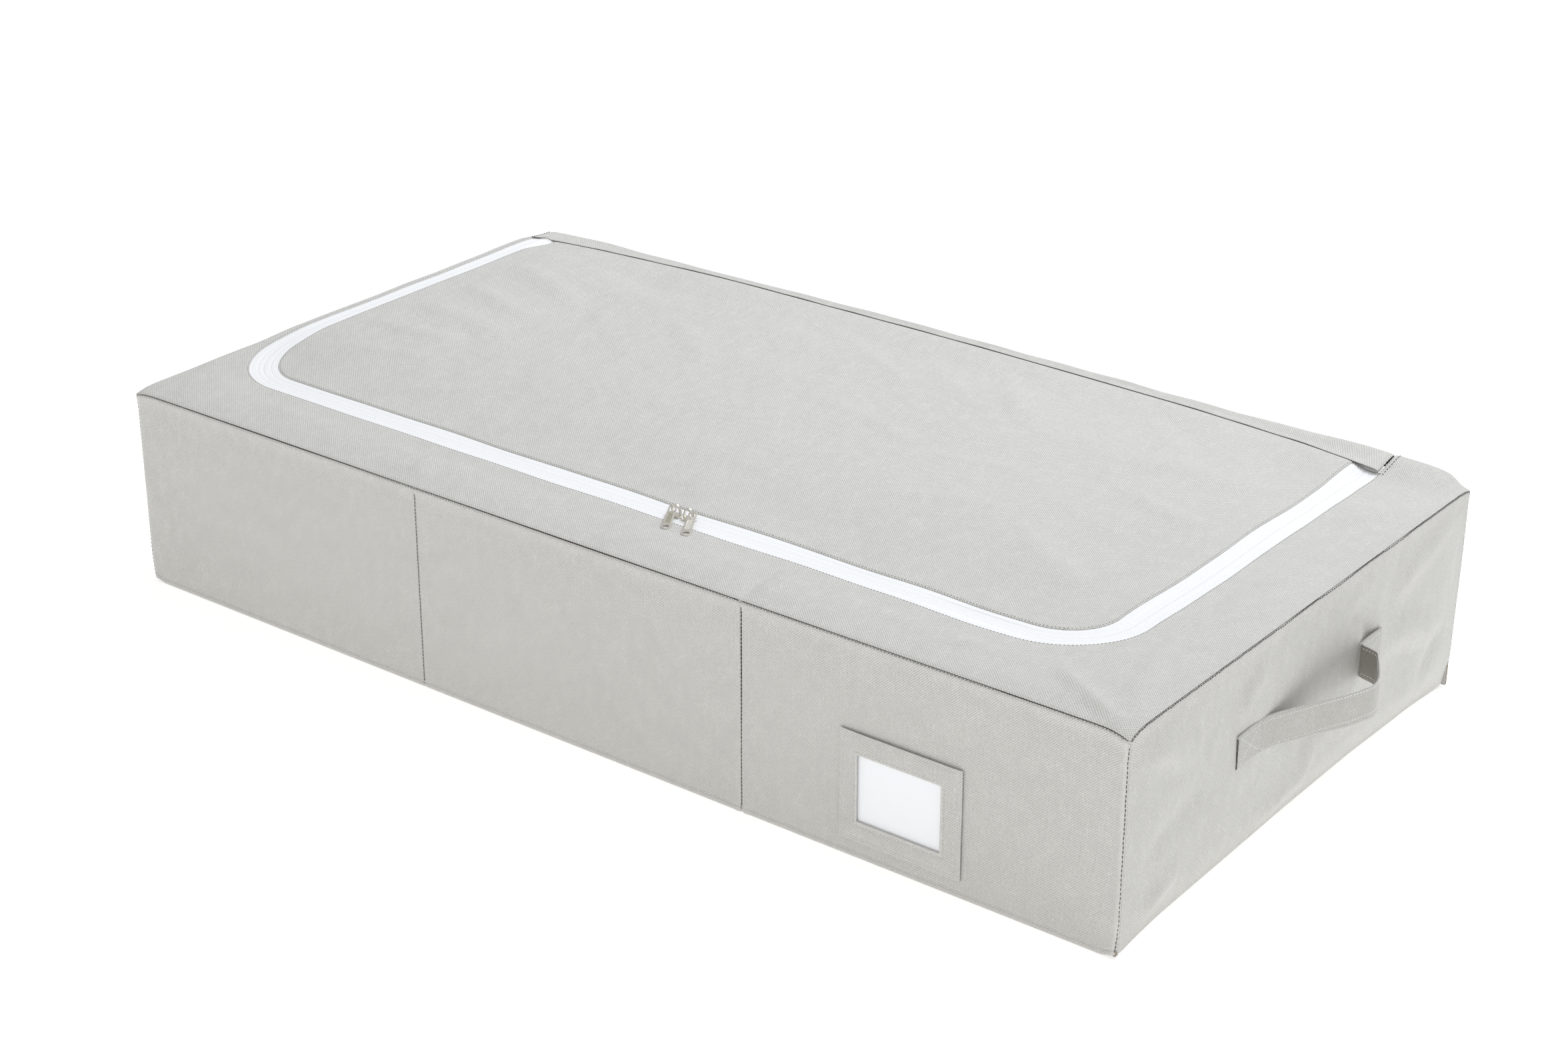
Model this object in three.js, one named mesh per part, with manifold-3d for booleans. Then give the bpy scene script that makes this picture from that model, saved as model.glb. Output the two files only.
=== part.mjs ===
// Under bed box: a long, low, soft box of non-woven fabric with stiffening boards in its front, back
// and base, a zip-round lid flap in its top, a carry strap on each end and a label pocket in front.
//
// Millimetres, +Z up. X runs along the box, -Y is the front with the label pocket, and the origin is
// on the floor under the middle of the box.
import * as THREE from 'three';
import { mergeVertices } from 'three/addons/utils/BufferGeometryUtils.js';
import Module from 'manifold-3d';

const wasm = await Module();
wasm.setup();

// ---- driving dimensions -------------------------------------------------------------------------

const LENGTH = 1000;           // along X, over the fabric
const WIDTH = 520;             // along Y, over the fabric
const HEIGHT = 182;            // floor to the top of the rim
const FABRIC = 1.0;            // one layer of stitched non-woven
const LINING = 0.8;            // inner layer that holds the boards
const BOARD = 2.4;             // stiffening board
const GAP = 0.3;               // between pieces that lie against each other
const FOLD_X = 167;            // fold seams that divide the long walls and the base in three
const FOLD_GAP = 6;            // room for the seam between two boards
const BOARD_END_GAP = 1.2;     // boards and linings stop short of the end walls
const BOARD_FOOT = 2;          // bottom edge of the wall boards and linings
const BOARD_TOP_GAP = 3;       // below the top of the outer fabric
const BASE_END_GAP = 34;       // the base boards stop short, so that the soft ends can round off below
const LINING_TOP_GAP = 2;

// zip centre line: left run, right run, front run, and where it ends at the back
const ZIP_LEFT = -468;
const ZIP_RIGHT = 417;
const ZIP_FRONT = -174;
const ZIP_RADIUS = 60;
const TAPE_SHOWING = 13;       // each tape half between its coil edge and the fabric edge
const TAPE_TUCK = 3;           // sewn under the fabric
const TAPE = 0.7;
const COIL_HALF_GAP = 0.9;     // centre line to the near face of a coil or tape half
const COIL_WIDTH = 2.0;
const COIL_HEIGHT = 1.8;
const CORNER_STEPS = 14;       // straight pieces in a quarter turn of the zip
const ZIP_END_GAP = 2;         // the zip stops short of the hinge line, and of the back wall's boards
const STOP = { half: 5, width: 6, thick: 1.2 };

const HINGE_Y = 246;           // line where the lid flap turns
const STRIP_TOP = 191;         // top of the back strip's soft roll
const ARCH_STEPS = 18;         // straight pieces in an arch

const SLIDER_MEET_X = 39;      // where the two closed sliders touch
const SLIDER_LENGTH = 12;
const SLIDER_NOSE_HALF = 4.7;
const SLIDER_TAIL_HALF = 3.6;
const SLIDER_PLATE = 1.2;
const SLIDER_WEB = 0.6;
const SLIDER_NOSE_FLAT = 1.5;  // half width of the flat at the very nose
const SLIDER_CORNER = 1;
const CROWN_HALF = 5.2;
const CROWN_RISE = 8.8;
const CROWN_BAR = 1.5;
const CROWN_WIDTH = 2.0;

const PULL_PIVOT_RISE = 3.5;   // pivot above the crown's feet
const PULL_PIVOT_INSET = 3.8;  // pivot from the middle of the slider, towards its tail
const PULL_THICK = 1.2;
const PULL_HEAD_HALF = 3.3;
const PULL_TIP_HALF = 3.8;
const PULL_REACH = 26;         // pivot to the middle of the round hole
const PULL_HOLE = 2.3;
const PULL_WINDOW = { half: 2.2, behind: 2.9, ahead: 4.3 };
const PULL_HEAD_BAR = 1.3;
const PULL_CORNER = 1;
const PULL_YAW = THREE.MathUtils.degToRad(30);
const PULL_DROOP = THREE.MathUtils.degToRad(5.7);

const STRAP_LOW = 83;
const STRAP_HIGH = 113;
const STRAP = 2.0;
const STRAP_TAB = 35;          // sewn length at each end
const STRAP_FRONT_FOLD = -72;  // y of the fold next to the front tab
const STRAP_BACK_FOLD = 80;
const STRAP_STEPS = 40;
const STRAP_FOLD_OUT = 2;      // the loop leaves the wall this far out, beside each fold

const POCKET = { x0: 258, x1: 367, z0: 15, z1: 107 };
const POCKET_WINDOW = { x0: 273, x1: 352, z0: 31, z1: 92 };
const POCKET_HEM = 6;
const CARD = { x0: 268, x1: 357, z0: 26, z1: 94 };
const CARD_THICK = 0.5;
const FILM = 0.4;
const FILM_CLEAR = 0.5;        // between the film and the sewn hem
const FILM_TOP_GAP = 2;        // below the pocket's mouth

// ---- derived places -----------------------------------------------------------------------------

const HALF_L = LENGTH / 2;
const HALF_W = WIDTH / 2;
const SKIN_TOP = HEIGHT - FABRIC - GAP;
const BOARD_OUT = FABRIC + GAP;
const LINING_OUT = BOARD_OUT + BOARD + GAP;
const WALL = LINING_OUT + LINING;
const RIM_BOTTOM = HEIGHT - FABRIC;
const TAPE_TOP = RIM_BOTTOM - GAP;
const TAPE_BOTTOM = TAPE_TOP - TAPE;
const COIL_TOP = TAPE_BOTTOM - GAP;
const COIL_BOTTOM = COIL_TOP - COIL_HEIGHT;
const PLATE_BOTTOM = TAPE_TOP + GAP;
const PLATE_TOP = PLATE_BOTTOM + SLIDER_PLATE;

// ---- materials ----------------------------------------------------------------------------------

const finish = (color, roughness, metalness = 0, opacity = 1) =>
  new THREE.MeshStandardMaterial({ color, roughness, metalness, opacity, transparent: opacity < 1 });

const FABRIC_GREY = finish(0xcfcec9, 0.95);
const LINING_GREY = finish(0xc6c5c0, 0.95);
const BOARD_GREY = finish(0xa9a297, 0.9);
const TAPE_WHITE = finish(0xf6f7fa, 0.8);
const COIL_WHITE = finish(0xeeeef2, 0.5);
const NICKEL = finish(0xb5b0a3, 0.28, 1);
const CLEAR_FILM = finish(0xf2f4f6, 0.15, 0, 0.35);
const CARD_WHITE = finish(0xf7f7f5, 0.85);

// ---- helpers ------------------------------------------------------------------------------------

const box = new THREE.Group();

function add(name, geometry, material, parent = box) {
  const mesh = new THREE.Mesh(geometry, material);
  mesh.name = name;
  parent.add(mesh);
  return mesh;
}

// A flat rectangular sheet or board between two corners.
function plate(name, [x0, x1], [y0, y1], [z0, z1], material) {
  const geometry = new THREE.BoxGeometry(x1 - x0, y1 - y0, z1 - z0);
  const mesh = add(name, geometry, material);
  mesh.position.set((x0 + x1) / 2, (y0 + y1) / 2, (z0 + z1) / 2);
  return mesh;
}

// A shape drawn in XY, given a thickness from z0 up to z1.
function slab(shape, z0, z1) {
  const settings = { depth: z1 - z0, bevelEnabled: false, curveSegments: CORNER_STEPS };
  const geometry = new THREE.ExtrudeGeometry(shape, settings);
  return geometry.translate(0, 0, z0);
}

// Points of half an ellipse in two coordinates, from -half to +half, or back again when sign is -1.
function archPoints(half, rise, steps, sign) {
  return Array.from({ length: steps + 1 }, (_, i) => {
    const angle = (Math.PI * i) / steps;
    return [-sign * half * Math.cos(angle), rise * Math.sin(angle)];
  });
}

function polygon(points) {
  return new THREE.Shape(points.map(([x, y]) => new THREE.Vector2(x, y)));
}

function rectangle(x0, x1, y0, y1) {
  return polygon([[x0, y0], [x1, y0], [x1, y1], [x0, y1]]);
}

function toSolid(geometry) {
  const bare = geometry.clone();
  bare.deleteAttribute('normal');
  bare.deleteAttribute('uv');
  const merged = mergeVertices(bare, 1e-4);
  const vertProperties = new Float32Array(merged.attributes.position.array);
  const triVerts = new Uint32Array(merged.index.array);
  return new wasm.Manifold(new wasm.Mesh({ numProp: 3, vertProperties, triVerts }));
}

function toGeometry(solid) {
  const { vertProperties, triVerts } = solid.getMesh();
  const geometry = new THREE.BufferGeometry();
  geometry.setAttribute('position', new THREE.BufferAttribute(vertProperties, 3));
  geometry.setIndex(new THREE.BufferAttribute(triVerts, 1));
  geometry.computeVertexNormals();
  return geometry;
}

// The U-shaped line a set distance outside (+) or inside (-) the zip's centre line, from the back
// left, round the front, to the back right. It ends at y = back.
function zipLine(path, offset, back) {
  const radius = ZIP_RADIUS + offset;
  const turnY = ZIP_FRONT + ZIP_RADIUS;
  path.lineTo(ZIP_LEFT - offset, back);
  path.lineTo(ZIP_LEFT - offset, turnY);
  path.absarc(ZIP_LEFT + ZIP_RADIUS, turnY, radius, Math.PI, 1.5 * Math.PI, false);
  path.absarc(ZIP_RIGHT - ZIP_RADIUS, turnY, radius, 1.5 * Math.PI, 2 * Math.PI, false);
  path.lineTo(ZIP_RIGHT + offset, back);
  return path;
}

// The same line the other way round, from the back right to the back left.
function zipLineBack(path, offset, back) {
  const radius = ZIP_RADIUS + offset;
  const turnY = ZIP_FRONT + ZIP_RADIUS;
  path.lineTo(ZIP_RIGHT + offset, back);
  path.lineTo(ZIP_RIGHT + offset, turnY);
  path.absarc(ZIP_RIGHT - ZIP_RADIUS, turnY, radius, 2 * Math.PI, 1.5 * Math.PI, true);
  path.absarc(ZIP_LEFT + ZIP_RADIUS, turnY, radius, 1.5 * Math.PI, Math.PI, true);
  path.lineTo(ZIP_LEFT - offset, back);
  return path;
}

// A band that follows the zip between two offsets.
function zipBand(inner, outer, back) {
  const shape = new THREE.Shape();
  shape.moveTo(ZIP_LEFT - outer, back);
  zipLine(shape, outer, back);
  return zipLineBack(shape, inner, back);
}

// ---- long walls: outer fabric, three boards, lining ---------------------------------------------

const THIRDS = [
  ['left', -HALF_L + BOARD_OUT + BOARD_END_GAP, -FOLD_X - FOLD_GAP / 2],
  ['middle', -FOLD_X + FOLD_GAP / 2, FOLD_X - FOLD_GAP / 2],
  ['right', FOLD_X + FOLD_GAP / 2, HALF_L - BOARD_OUT - BOARD_END_GAP],
];

function longWall(name, side) {
  // side is -1 for the front and +1 for the back
  const layer = (out, thick) => {
    const ys = [side * (HALF_W - out), side * (HALF_W - out - thick)];
    return ys.sort((a, b) => a - b);
  };
  plate(`${name}_panel`, [-HALF_L, HALF_L], layer(0, FABRIC), [0, SKIN_TOP], FABRIC_GREY);
  for (const [third, x0, x1] of THIRDS) {
    const boardZ = [BOARD_FOOT, SKIN_TOP - BOARD_TOP_GAP];
    plate(`${name}_board_${third}`, [x0, x1], layer(BOARD_OUT, BOARD), boardZ, BOARD_GREY);
  }
  const liningX = HALF_L - BOARD_OUT - BOARD_END_GAP;
  const liningZ = [BOARD_FOOT, SKIN_TOP - LINING_TOP_GAP];
  plate(`${name}_lining`, [-liningX, liningX], layer(LINING_OUT, LINING), liningZ, LINING_GREY);
}

longWall('front', -1);
longWall('back', 1);

// ---- soft end walls -----------------------------------------------------------------------------

const END_Y = HALF_W - BOARD_OUT;
plate('left_side_panel', [-HALF_L, -HALF_L + FABRIC], [-END_Y, END_Y], [0, SKIN_TOP], FABRIC_GREY);
plate('right_side_panel', [HALF_L - FABRIC, HALF_L], [-END_Y, END_Y], [0, SKIN_TOP], FABRIC_GREY);

// ---- base: outer fabric, three boards, lining ---------------------------------------------------

const BASE_X = HALF_L - BOARD_OUT;
const BASE_IN_Y = HALF_W - WALL - GAP;
plate('base_panel', [-BASE_X, BASE_X], [-END_Y, END_Y], [0, FABRIC], FABRIC_GREY);
const baseEnd = HALF_L - BASE_END_GAP;
for (const [third, x0, x1] of THIRDS) {
  const xs = [Math.max(x0, -baseEnd), Math.min(x1, baseEnd)];
  plate(`base_board_${third}`, xs, [-BASE_IN_Y, BASE_IN_Y], [BOARD_OUT, BOARD_OUT + BOARD], BOARD_GREY);
}
plate('base_lining', [-BASE_X, BASE_X], [-BASE_IN_Y, BASE_IN_Y], [LINING_OUT, WALL], LINING_GREY);

// ---- top: rim, back strip, lid flap -------------------------------------------------------------

const rim = new THREE.Shape();
rim.moveTo(-HALF_L, HALF_W);
rim.lineTo(-HALF_L, -HALF_W);
rim.lineTo(HALF_L, -HALF_W);
rim.lineTo(HALF_L, HALF_W);
zipLineBack(rim, TAPE_SHOWING, HALF_W);
add('rim_panel', slab(rim, RIM_BOTTOM, HEIGHT), FABRIC_GREY);

const lid = new THREE.Shape();
lid.moveTo(ZIP_LEFT + TAPE_SHOWING, HINGE_Y - GAP);
zipLine(lid, -TAPE_SHOWING, HINGE_Y - GAP);
add('lid_panel', slab(lid, RIM_BOTTOM, HEIGHT), FABRIC_GREY);

// The back strip is a soft roll of folded fabric with an arched top, drawn in YZ and extruded along X.
function archedStrip() {
  const y0 = HINGE_Y + GAP;
  const y1 = HALF_W;
  const middle = (y0 + y1) / 2;
  const rise = STRIP_TOP - RIM_BOTTOM;
  const half = (y1 - y0) / 2;
  const arch = archPoints(half, rise, ARCH_STEPS, 1);
  const shape = polygon(arch.map(([y, z]) => [middle + y, RIM_BOTTOM + z]));
  const x0 = ZIP_LEFT - TAPE_SHOWING + GAP;
  const x1 = ZIP_RIGHT + TAPE_SHOWING - GAP;
  const geometry = new THREE.ExtrudeGeometry(shape, { depth: x1 - x0, bevelEnabled: false });
  // drawn (y, z, depth) becomes (x = depth, y, z)
  const turn = new THREE.Matrix4().set(0, 0, 1, x0, 1, 0, 0, 0, 0, 1, 0, 0, 0, 0, 0, 1);
  return geometry.applyMatrix4(turn);
}

add('back_strip', archedStrip(), FABRIC_GREY);

// ---- zip: tape and coil on the rim, tape and coil on the lid ------------------------------------

const RIM_ZIP_END = HALF_W - BOARD_OUT - BOARD - ZIP_END_GAP;
const LID_ZIP_END = HINGE_Y - ZIP_END_GAP;
const near = COIL_HALF_GAP;
const tapeReach = TAPE_SHOWING + TAPE_TUCK;
const coilReach = COIL_HALF_GAP + COIL_WIDTH;
const tape = (inner, outer, back) => slab(zipBand(inner, outer, back), TAPE_BOTTOM, TAPE_TOP);
const coil = (inner, outer) => slab(zipBand(inner, outer, LID_ZIP_END), COIL_BOTTOM, COIL_TOP);
add('rim_zip_tape', tape(near, tapeReach, RIM_ZIP_END), TAPE_WHITE);
add('lid_zip_tape', tape(-tapeReach, -near, LID_ZIP_END), TAPE_WHITE);
add('rim_zip_coil', coil(near, coilReach), COIL_WHITE);
add('lid_zip_coil', coil(-coilReach, -near), COIL_WHITE);

// A bar stop under each end of the coils, held by the rim.
const STOP_TOP = COIL_BOTTOM - GAP;
for (const [side, x] of [['left', ZIP_LEFT], ['right', ZIP_RIGHT]]) {
  const ys = [LID_ZIP_END - STOP.width, LID_ZIP_END];
  plate(`${side}_zip_stop`, [x - STOP.half, x + STOP.half], ys, [STOP_TOP - STOP.thick, STOP_TOP], NICKEL);
}

// ---- zip sliders --------------------------------------------------------------------------------

// Seen from the end: a full plate over the tapes, a thin web between the coils and a half plate under
// the lid's coil. Seen from above: a shield, wide at the nose. Local +X is the nose.
function sliderBody() {
  const low = COIL_BOTTOM - GAP;
  const side = SLIDER_NOSE_HALF;
  const web = SLIDER_WEB / 2;
  const section = polygon([
    [-side, PLATE_BOTTOM], [-web, PLATE_BOTTOM], [-web, low - SLIDER_PLATE], [side, low - SLIDER_PLATE],
    [side, low], [web, low], [web, PLATE_BOTTOM], [side, PLATE_BOTTOM], [side, PLATE_TOP], [-side, PLATE_TOP],
  ]);
  const bar = new THREE.ExtrudeGeometry(section, { depth: SLIDER_LENGTH, bevelEnabled: false });
  bar.applyMatrix4(new THREE.Matrix4().set(
    0, 0, 1, -SLIDER_LENGTH / 2, 1, 0, 0, 0, 0, 1, 0, 0, 0, 0, 0, 1));
  const nose = SLIDER_LENGTH / 2;
  const outline = new THREE.Shape();
  const tail = SLIDER_TAIL_HALF;
  const corner = SLIDER_CORNER;
  outline.moveTo(-nose, -tail + corner);
  outline.quadraticCurveTo(-nose, -tail, -nose + corner, -tail);
  outline.lineTo(0, -tail);
  outline.quadraticCurveTo(nose, -side, nose, -SLIDER_NOSE_FLAT);
  outline.lineTo(nose, SLIDER_NOSE_FLAT);
  outline.quadraticCurveTo(nose, side, 0, tail);
  outline.lineTo(-nose + corner, tail);
  outline.quadraticCurveTo(-nose, tail, -nose, tail - corner);
  const cutter = slab(outline, COIL_BOTTOM - SLIDER_LENGTH, PLATE_TOP + SLIDER_LENGTH);
  return toGeometry(toSolid(bar).intersect(toSolid(cutter)));
}

// An arch that stands lengthwise on the slider, drawn in XZ.
function sliderCrown() {
  const outer = archPoints(CROWN_HALF, CROWN_RISE, ARCH_STEPS, 1);
  const inner = archPoints(CROWN_HALF - CROWN_BAR, CROWN_RISE - CROWN_BAR, ARCH_STEPS, -1);
  const geometry = new THREE.ExtrudeGeometry(polygon([...outer, ...inner]), {
    depth: CROWN_WIDTH, bevelEnabled: false,
  });
  geometry.rotateX(Math.PI / 2);
  return geometry.translate(0, CROWN_WIDTH / 2, PLATE_TOP + GAP);
}

// The pull lies along -Y from its window, which is round the origin.
function pullTab() {
  const { half, behind, ahead } = PULL_WINDOW;
  const head = behind + PULL_HEAD_BAR;
  const shape = new THREE.Shape();
  const side = PULL_HEAD_HALF;
  const corner = PULL_CORNER;
  shape.moveTo(side, head - corner);
  shape.quadraticCurveTo(side, head, side - corner, head);
  shape.lineTo(-side + corner, head);
  shape.quadraticCurveTo(-side, head, -side, head - corner);
  shape.lineTo(-PULL_TIP_HALF, -PULL_REACH);
  shape.absarc(0, -PULL_REACH, PULL_TIP_HALF, Math.PI, 2 * Math.PI, false);
  shape.lineTo(side, head - corner);
  const window = new THREE.Path();
  window.moveTo(-half, -ahead);
  window.lineTo(-half, behind);
  window.lineTo(half, behind);
  window.lineTo(half, -ahead);
  window.lineTo(-half, -ahead);
  shape.holes.push(window);
  const eye = new THREE.Path();
  eye.absarc(0, -PULL_REACH, PULL_HOLE, 0, 2 * Math.PI, true);
  shape.holes.push(eye);
  return slab(shape, -PULL_THICK / 2, PULL_THICK / 2);
}

for (const [side, nose] of [['left', 1], ['right', -1]]) {
  const slider = new THREE.Group();
  const x = SLIDER_MEET_X - nose * (SLIDER_LENGTH / 2 + GAP);
  slider.position.set(x, ZIP_FRONT, 0);
  const body = sliderBody();
  if (nose < 0) {
    // mirrored end for end, with the faces turned to point out again
    body.scale(-1, 1, 1);
    body.setIndex([...body.index.array].reverse());
  }
  add(`${side}_slider_body`, body, NICKEL, slider);
  add(`${side}_slider_crown`, sliderCrown(), NICKEL, slider);
  const hang = new THREE.Group();
  hang.position.set(-nose * PULL_PIVOT_INSET, 0, PLATE_TOP + GAP + PULL_PIVOT_RISE);
  hang.rotation.z = PULL_YAW;
  add(`${side}_pull_tab`, pullTab(), NICKEL, hang).rotation.x = PULL_DROOP;
  slider.add(hang);
  box.add(slider);
}

// ---- carry straps -------------------------------------------------------------------------------

// The free loop of a strap seen from above: distance out from the end wall, and y.
const STRAP_ROUTE = [
  [STRAP_FOLD_OUT, STRAP_FRONT_FOLD + 1], [18, -30], [33, 6], [40, 36], [38.5, 58], [30, 72],
  [17, 78], [STRAP_FOLD_OUT, STRAP_BACK_FOLD - 1],
].map(([out, y]) => new THREE.Vector2(out, y));

// A ribbon of the strap's thickness along the route, as a closed outline.
function ribbon(route, thick, steps) {
  const curve = new THREE.SplineCurve(route);
  const near = [];
  const far = [];
  for (let i = 0; i <= steps; i += 1) {
    const at = curve.getPoint(i / steps);
    const along = curve.getTangent(i / steps);
    near.push([at.x - along.y * thick / 2, at.y + along.x * thick / 2]);
    far.unshift([at.x + along.y * thick / 2, at.y - along.x * thick / 2]);
  }
  return [...near, ...far];
}

for (const [side, out] of [['left', -1], ['right', 1]]) {
  const wall = HALF_L + GAP + STRAP / 2;
  const loop = ribbon(STRAP_ROUTE, STRAP, STRAP_STEPS).map(([d, y]) => [out * (wall + d), y]);
  add(`${side}_handle_strap`, slab(polygon(loop), STRAP_LOW, STRAP_HIGH), FABRIC_GREY);
  const xs = [out * (HALF_L + GAP), out * (HALF_L + GAP + STRAP)].sort((a, b) => a - b);
  const front = [STRAP_FRONT_FOLD - STRAP_TAB, STRAP_FRONT_FOLD];
  const back = [STRAP_BACK_FOLD, STRAP_BACK_FOLD + STRAP_TAB];
  plate(`${side}_handle_front_tab`, xs, front, [STRAP_LOW, STRAP_HIGH], FABRIC_GREY);
  plate(`${side}_handle_back_tab`, xs, back, [STRAP_LOW, STRAP_HIGH], FABRIC_GREY);
}

// ---- label pocket -------------------------------------------------------------------------------

// Pieces of the pocket are drawn in XZ and stand in front of the front panel: near and far are their
// distances out from it.
function frontSlab(shape, near, far) {
  const geometry = new THREE.ExtrudeGeometry(shape, { depth: far - near, bevelEnabled: false });
  geometry.rotateX(Math.PI / 2);
  return geometry.translate(0, -HALF_W - near, 0);
}

const CARD_NEAR = GAP;
const FILM_NEAR = CARD_NEAR + CARD_THICK + GAP;
const FRAME_NEAR = FILM_NEAR + FILM + GAP;

function pocketFrame() {
  const { x0, x1, z0, z1 } = POCKET;
  const face = rectangle(x0, x1, z0, z1);
  const cut = rectangle(POCKET_WINDOW.x0, POCKET_WINDOW.x1, POCKET_WINDOW.z0, POCKET_WINDOW.z1);
  const far = FRAME_NEAR + FABRIC;
  const frame = toSolid(frontSlab(face, FRAME_NEAR, far)).subtract(toSolid(frontSlab(cut, 0, far + 1)));
  // the sewn hem runs down both sides and along the bottom, and the top is the pocket's mouth
  const hem = polygon([
    [x0, z0], [x1, z0], [x1, z1], [x1 - POCKET_HEM, z1], [x1 - POCKET_HEM, z0 + POCKET_HEM],
    [x0 + POCKET_HEM, z0 + POCKET_HEM], [x0 + POCKET_HEM, z1], [x0, z1],
  ]);
  return toGeometry(frame.add(toSolid(frontSlab(hem, GAP, far))));
}

add('label_pocket_frame', pocketFrame(), FABRIC_GREY);

const filmInset = POCKET_HEM + FILM_CLEAR;
const film = rectangle(
  POCKET.x0 + filmInset, POCKET.x1 - filmInset, POCKET.z0 + filmInset, POCKET.z1 - FILM_TOP_GAP);
add('label_window', frontSlab(film, FILM_NEAR, FILM_NEAR + FILM), CLEAR_FILM);
const card = rectangle(CARD.x0, CARD.x1, CARD.z0, CARD.z1);
add('label_card', frontSlab(card, CARD_NEAR, CARD_NEAR + CARD_THICK), CARD_WHITE);

export default box;
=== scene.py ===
"""Under bed box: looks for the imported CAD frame. A long soft box of embossed non-woven fabric with a
zip-round lid, carry straps and a label pocket, on a pale floor in soft light.

Shapes are worked out in millimetres and turned into metres when a mesh is made."""

import math
import random
from contextlib import contextmanager

import bmesh
import bpy
import numpy as np
from mathutils import Matrix, Vector


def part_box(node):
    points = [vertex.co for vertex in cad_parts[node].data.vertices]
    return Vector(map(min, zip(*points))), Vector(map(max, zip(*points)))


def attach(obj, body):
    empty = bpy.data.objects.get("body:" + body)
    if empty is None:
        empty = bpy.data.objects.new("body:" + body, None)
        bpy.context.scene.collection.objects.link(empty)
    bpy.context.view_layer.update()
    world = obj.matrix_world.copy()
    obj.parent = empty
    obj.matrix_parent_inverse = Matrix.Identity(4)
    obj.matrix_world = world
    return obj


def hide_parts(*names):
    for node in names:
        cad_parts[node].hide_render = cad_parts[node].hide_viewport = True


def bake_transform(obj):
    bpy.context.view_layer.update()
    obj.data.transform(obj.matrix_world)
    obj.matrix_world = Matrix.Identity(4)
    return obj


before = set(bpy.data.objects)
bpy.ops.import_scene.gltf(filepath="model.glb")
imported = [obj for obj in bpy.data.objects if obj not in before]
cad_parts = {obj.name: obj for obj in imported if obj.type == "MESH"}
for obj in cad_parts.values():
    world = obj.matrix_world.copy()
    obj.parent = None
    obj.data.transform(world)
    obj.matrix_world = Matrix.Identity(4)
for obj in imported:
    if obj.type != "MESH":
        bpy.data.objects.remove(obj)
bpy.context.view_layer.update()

MM = 0.001
scene = bpy.context.scene


def cad(node):
    """The lowest and highest corner of a CAD node, in millimetres."""
    low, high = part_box(node)
    return low / MM, high / MM


def middle(node):
    low, high = cad(node)
    return (low + high) / 2


# ---- places, from the frame ---------------------------------------------------------------------

HALF_L, HALF_W, TOP = cad("rim_panel")[1]
ZIP_LEFT = middle("left_zip_stop").x
ZIP_RIGHT = middle("right_zip_stop").x
ZIP_FRONT = middle("left_slider_crown").y
TAPE_TOP = cad("rim_zip_tape")[1].z
COIL_LOW, COIL_HIGH = (corner.z for corner in cad("rim_zip_coil"))
LID_BACK = cad("lid_panel")[1].y
WALL_TOP = cad("front_panel")[1].z

ZIP_RADIUS = 60        # of the zip's centre line round the two front corners
TAPE_SHOWING = 13      # centre line to the edge of the fabric
TAPE_REACH = 16        # centre line to the hidden edge of a tape
ZIP_BACK = 239         # the zip's ends, tucked under the back strip
FABRIC = 0.9           # thickness of the outer fabric
FOLD_LEFT, FOLD_RIGHT = -168.5, 164.5       # x of the fold seams between the boards
EMBOSS_X, EMBOSS_Y = 2.30, 2.13     # pitch of the fabric's heat-pressed dots

# The roll along the top's back edge: its height over the rim, along X, and the y of its crest.
BACK_ROLL_X = (-500, -493, -430, -304, -182, -33, 163, 299, 407, 470, 486, 500)
BACK_ROLL_RISE = (0.5, 5, 9.5, 9.5, 11.6, 12.2, 11.2, 10.3, 11.8, 10, 8, 3)
ROLL_CREST = 256.5
# The seam between the lid flap and the back strip, along X: its y, and its height over the rim.
SEAM_X = (-481, -457, -414, -320, -250, 0, 90, 250, 375, 436)
SEAM_Y = (229, 233, 239, 246, 248, 248, 247.5, 245, 238, 227)
SEAM_RISE = (6.5, 7.5, 7.8, 8.4, 9.6, 10.1, 9.4, 8.2, 6.5, 5.5)
STRIP_X0, STRIP_X1 = (corner.x for corner in cad("back_strip"))


# ---- small mathematics --------------------------------------------------------------------------

def smooth(value, start, end):
    """0 before start, 1 after end, and a smooth step between them."""
    t = np.clip((np.asarray(value, float) - start) / (end - start), 0, 1)
    return t * t * (3 - 2 * t)


def bell(value, centre, half):
    """1 at centre, falling smoothly to 0 at half away from it."""
    return 1 - smooth(np.abs(np.asarray(value, float) - centre), 0, half)


def soft_line(value, knots, values, blur):
    """A line through the knots with its corners rounded off."""
    steps = (-1, -0.5, 0, 0.5, 1)
    return sum(np.interp(value + blur * s, knots, values) for s in steps) / len(steps)


def ripples(x, y, size, seed, stretch=1.0, turn=0.0):
    """Smooth irregular waves, mostly within -1 to 1, about size mm from crest to crest."""
    rng = random.Random(seed)
    c, s = math.cos(turn), math.sin(turn)
    u, v = (x * c + y * s) / stretch, y * c - x * s
    total = 0
    for _ in range(9):
        a = rng.uniform(0, 2 * math.pi)
        k = 2 * math.pi / (size * rng.uniform(0.7, 1.7))
        total = total + np.sin(k * (u * math.cos(a) + v * math.sin(a)) + rng.uniform(0, 2 * math.pi))
    return total / 4.5


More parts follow.
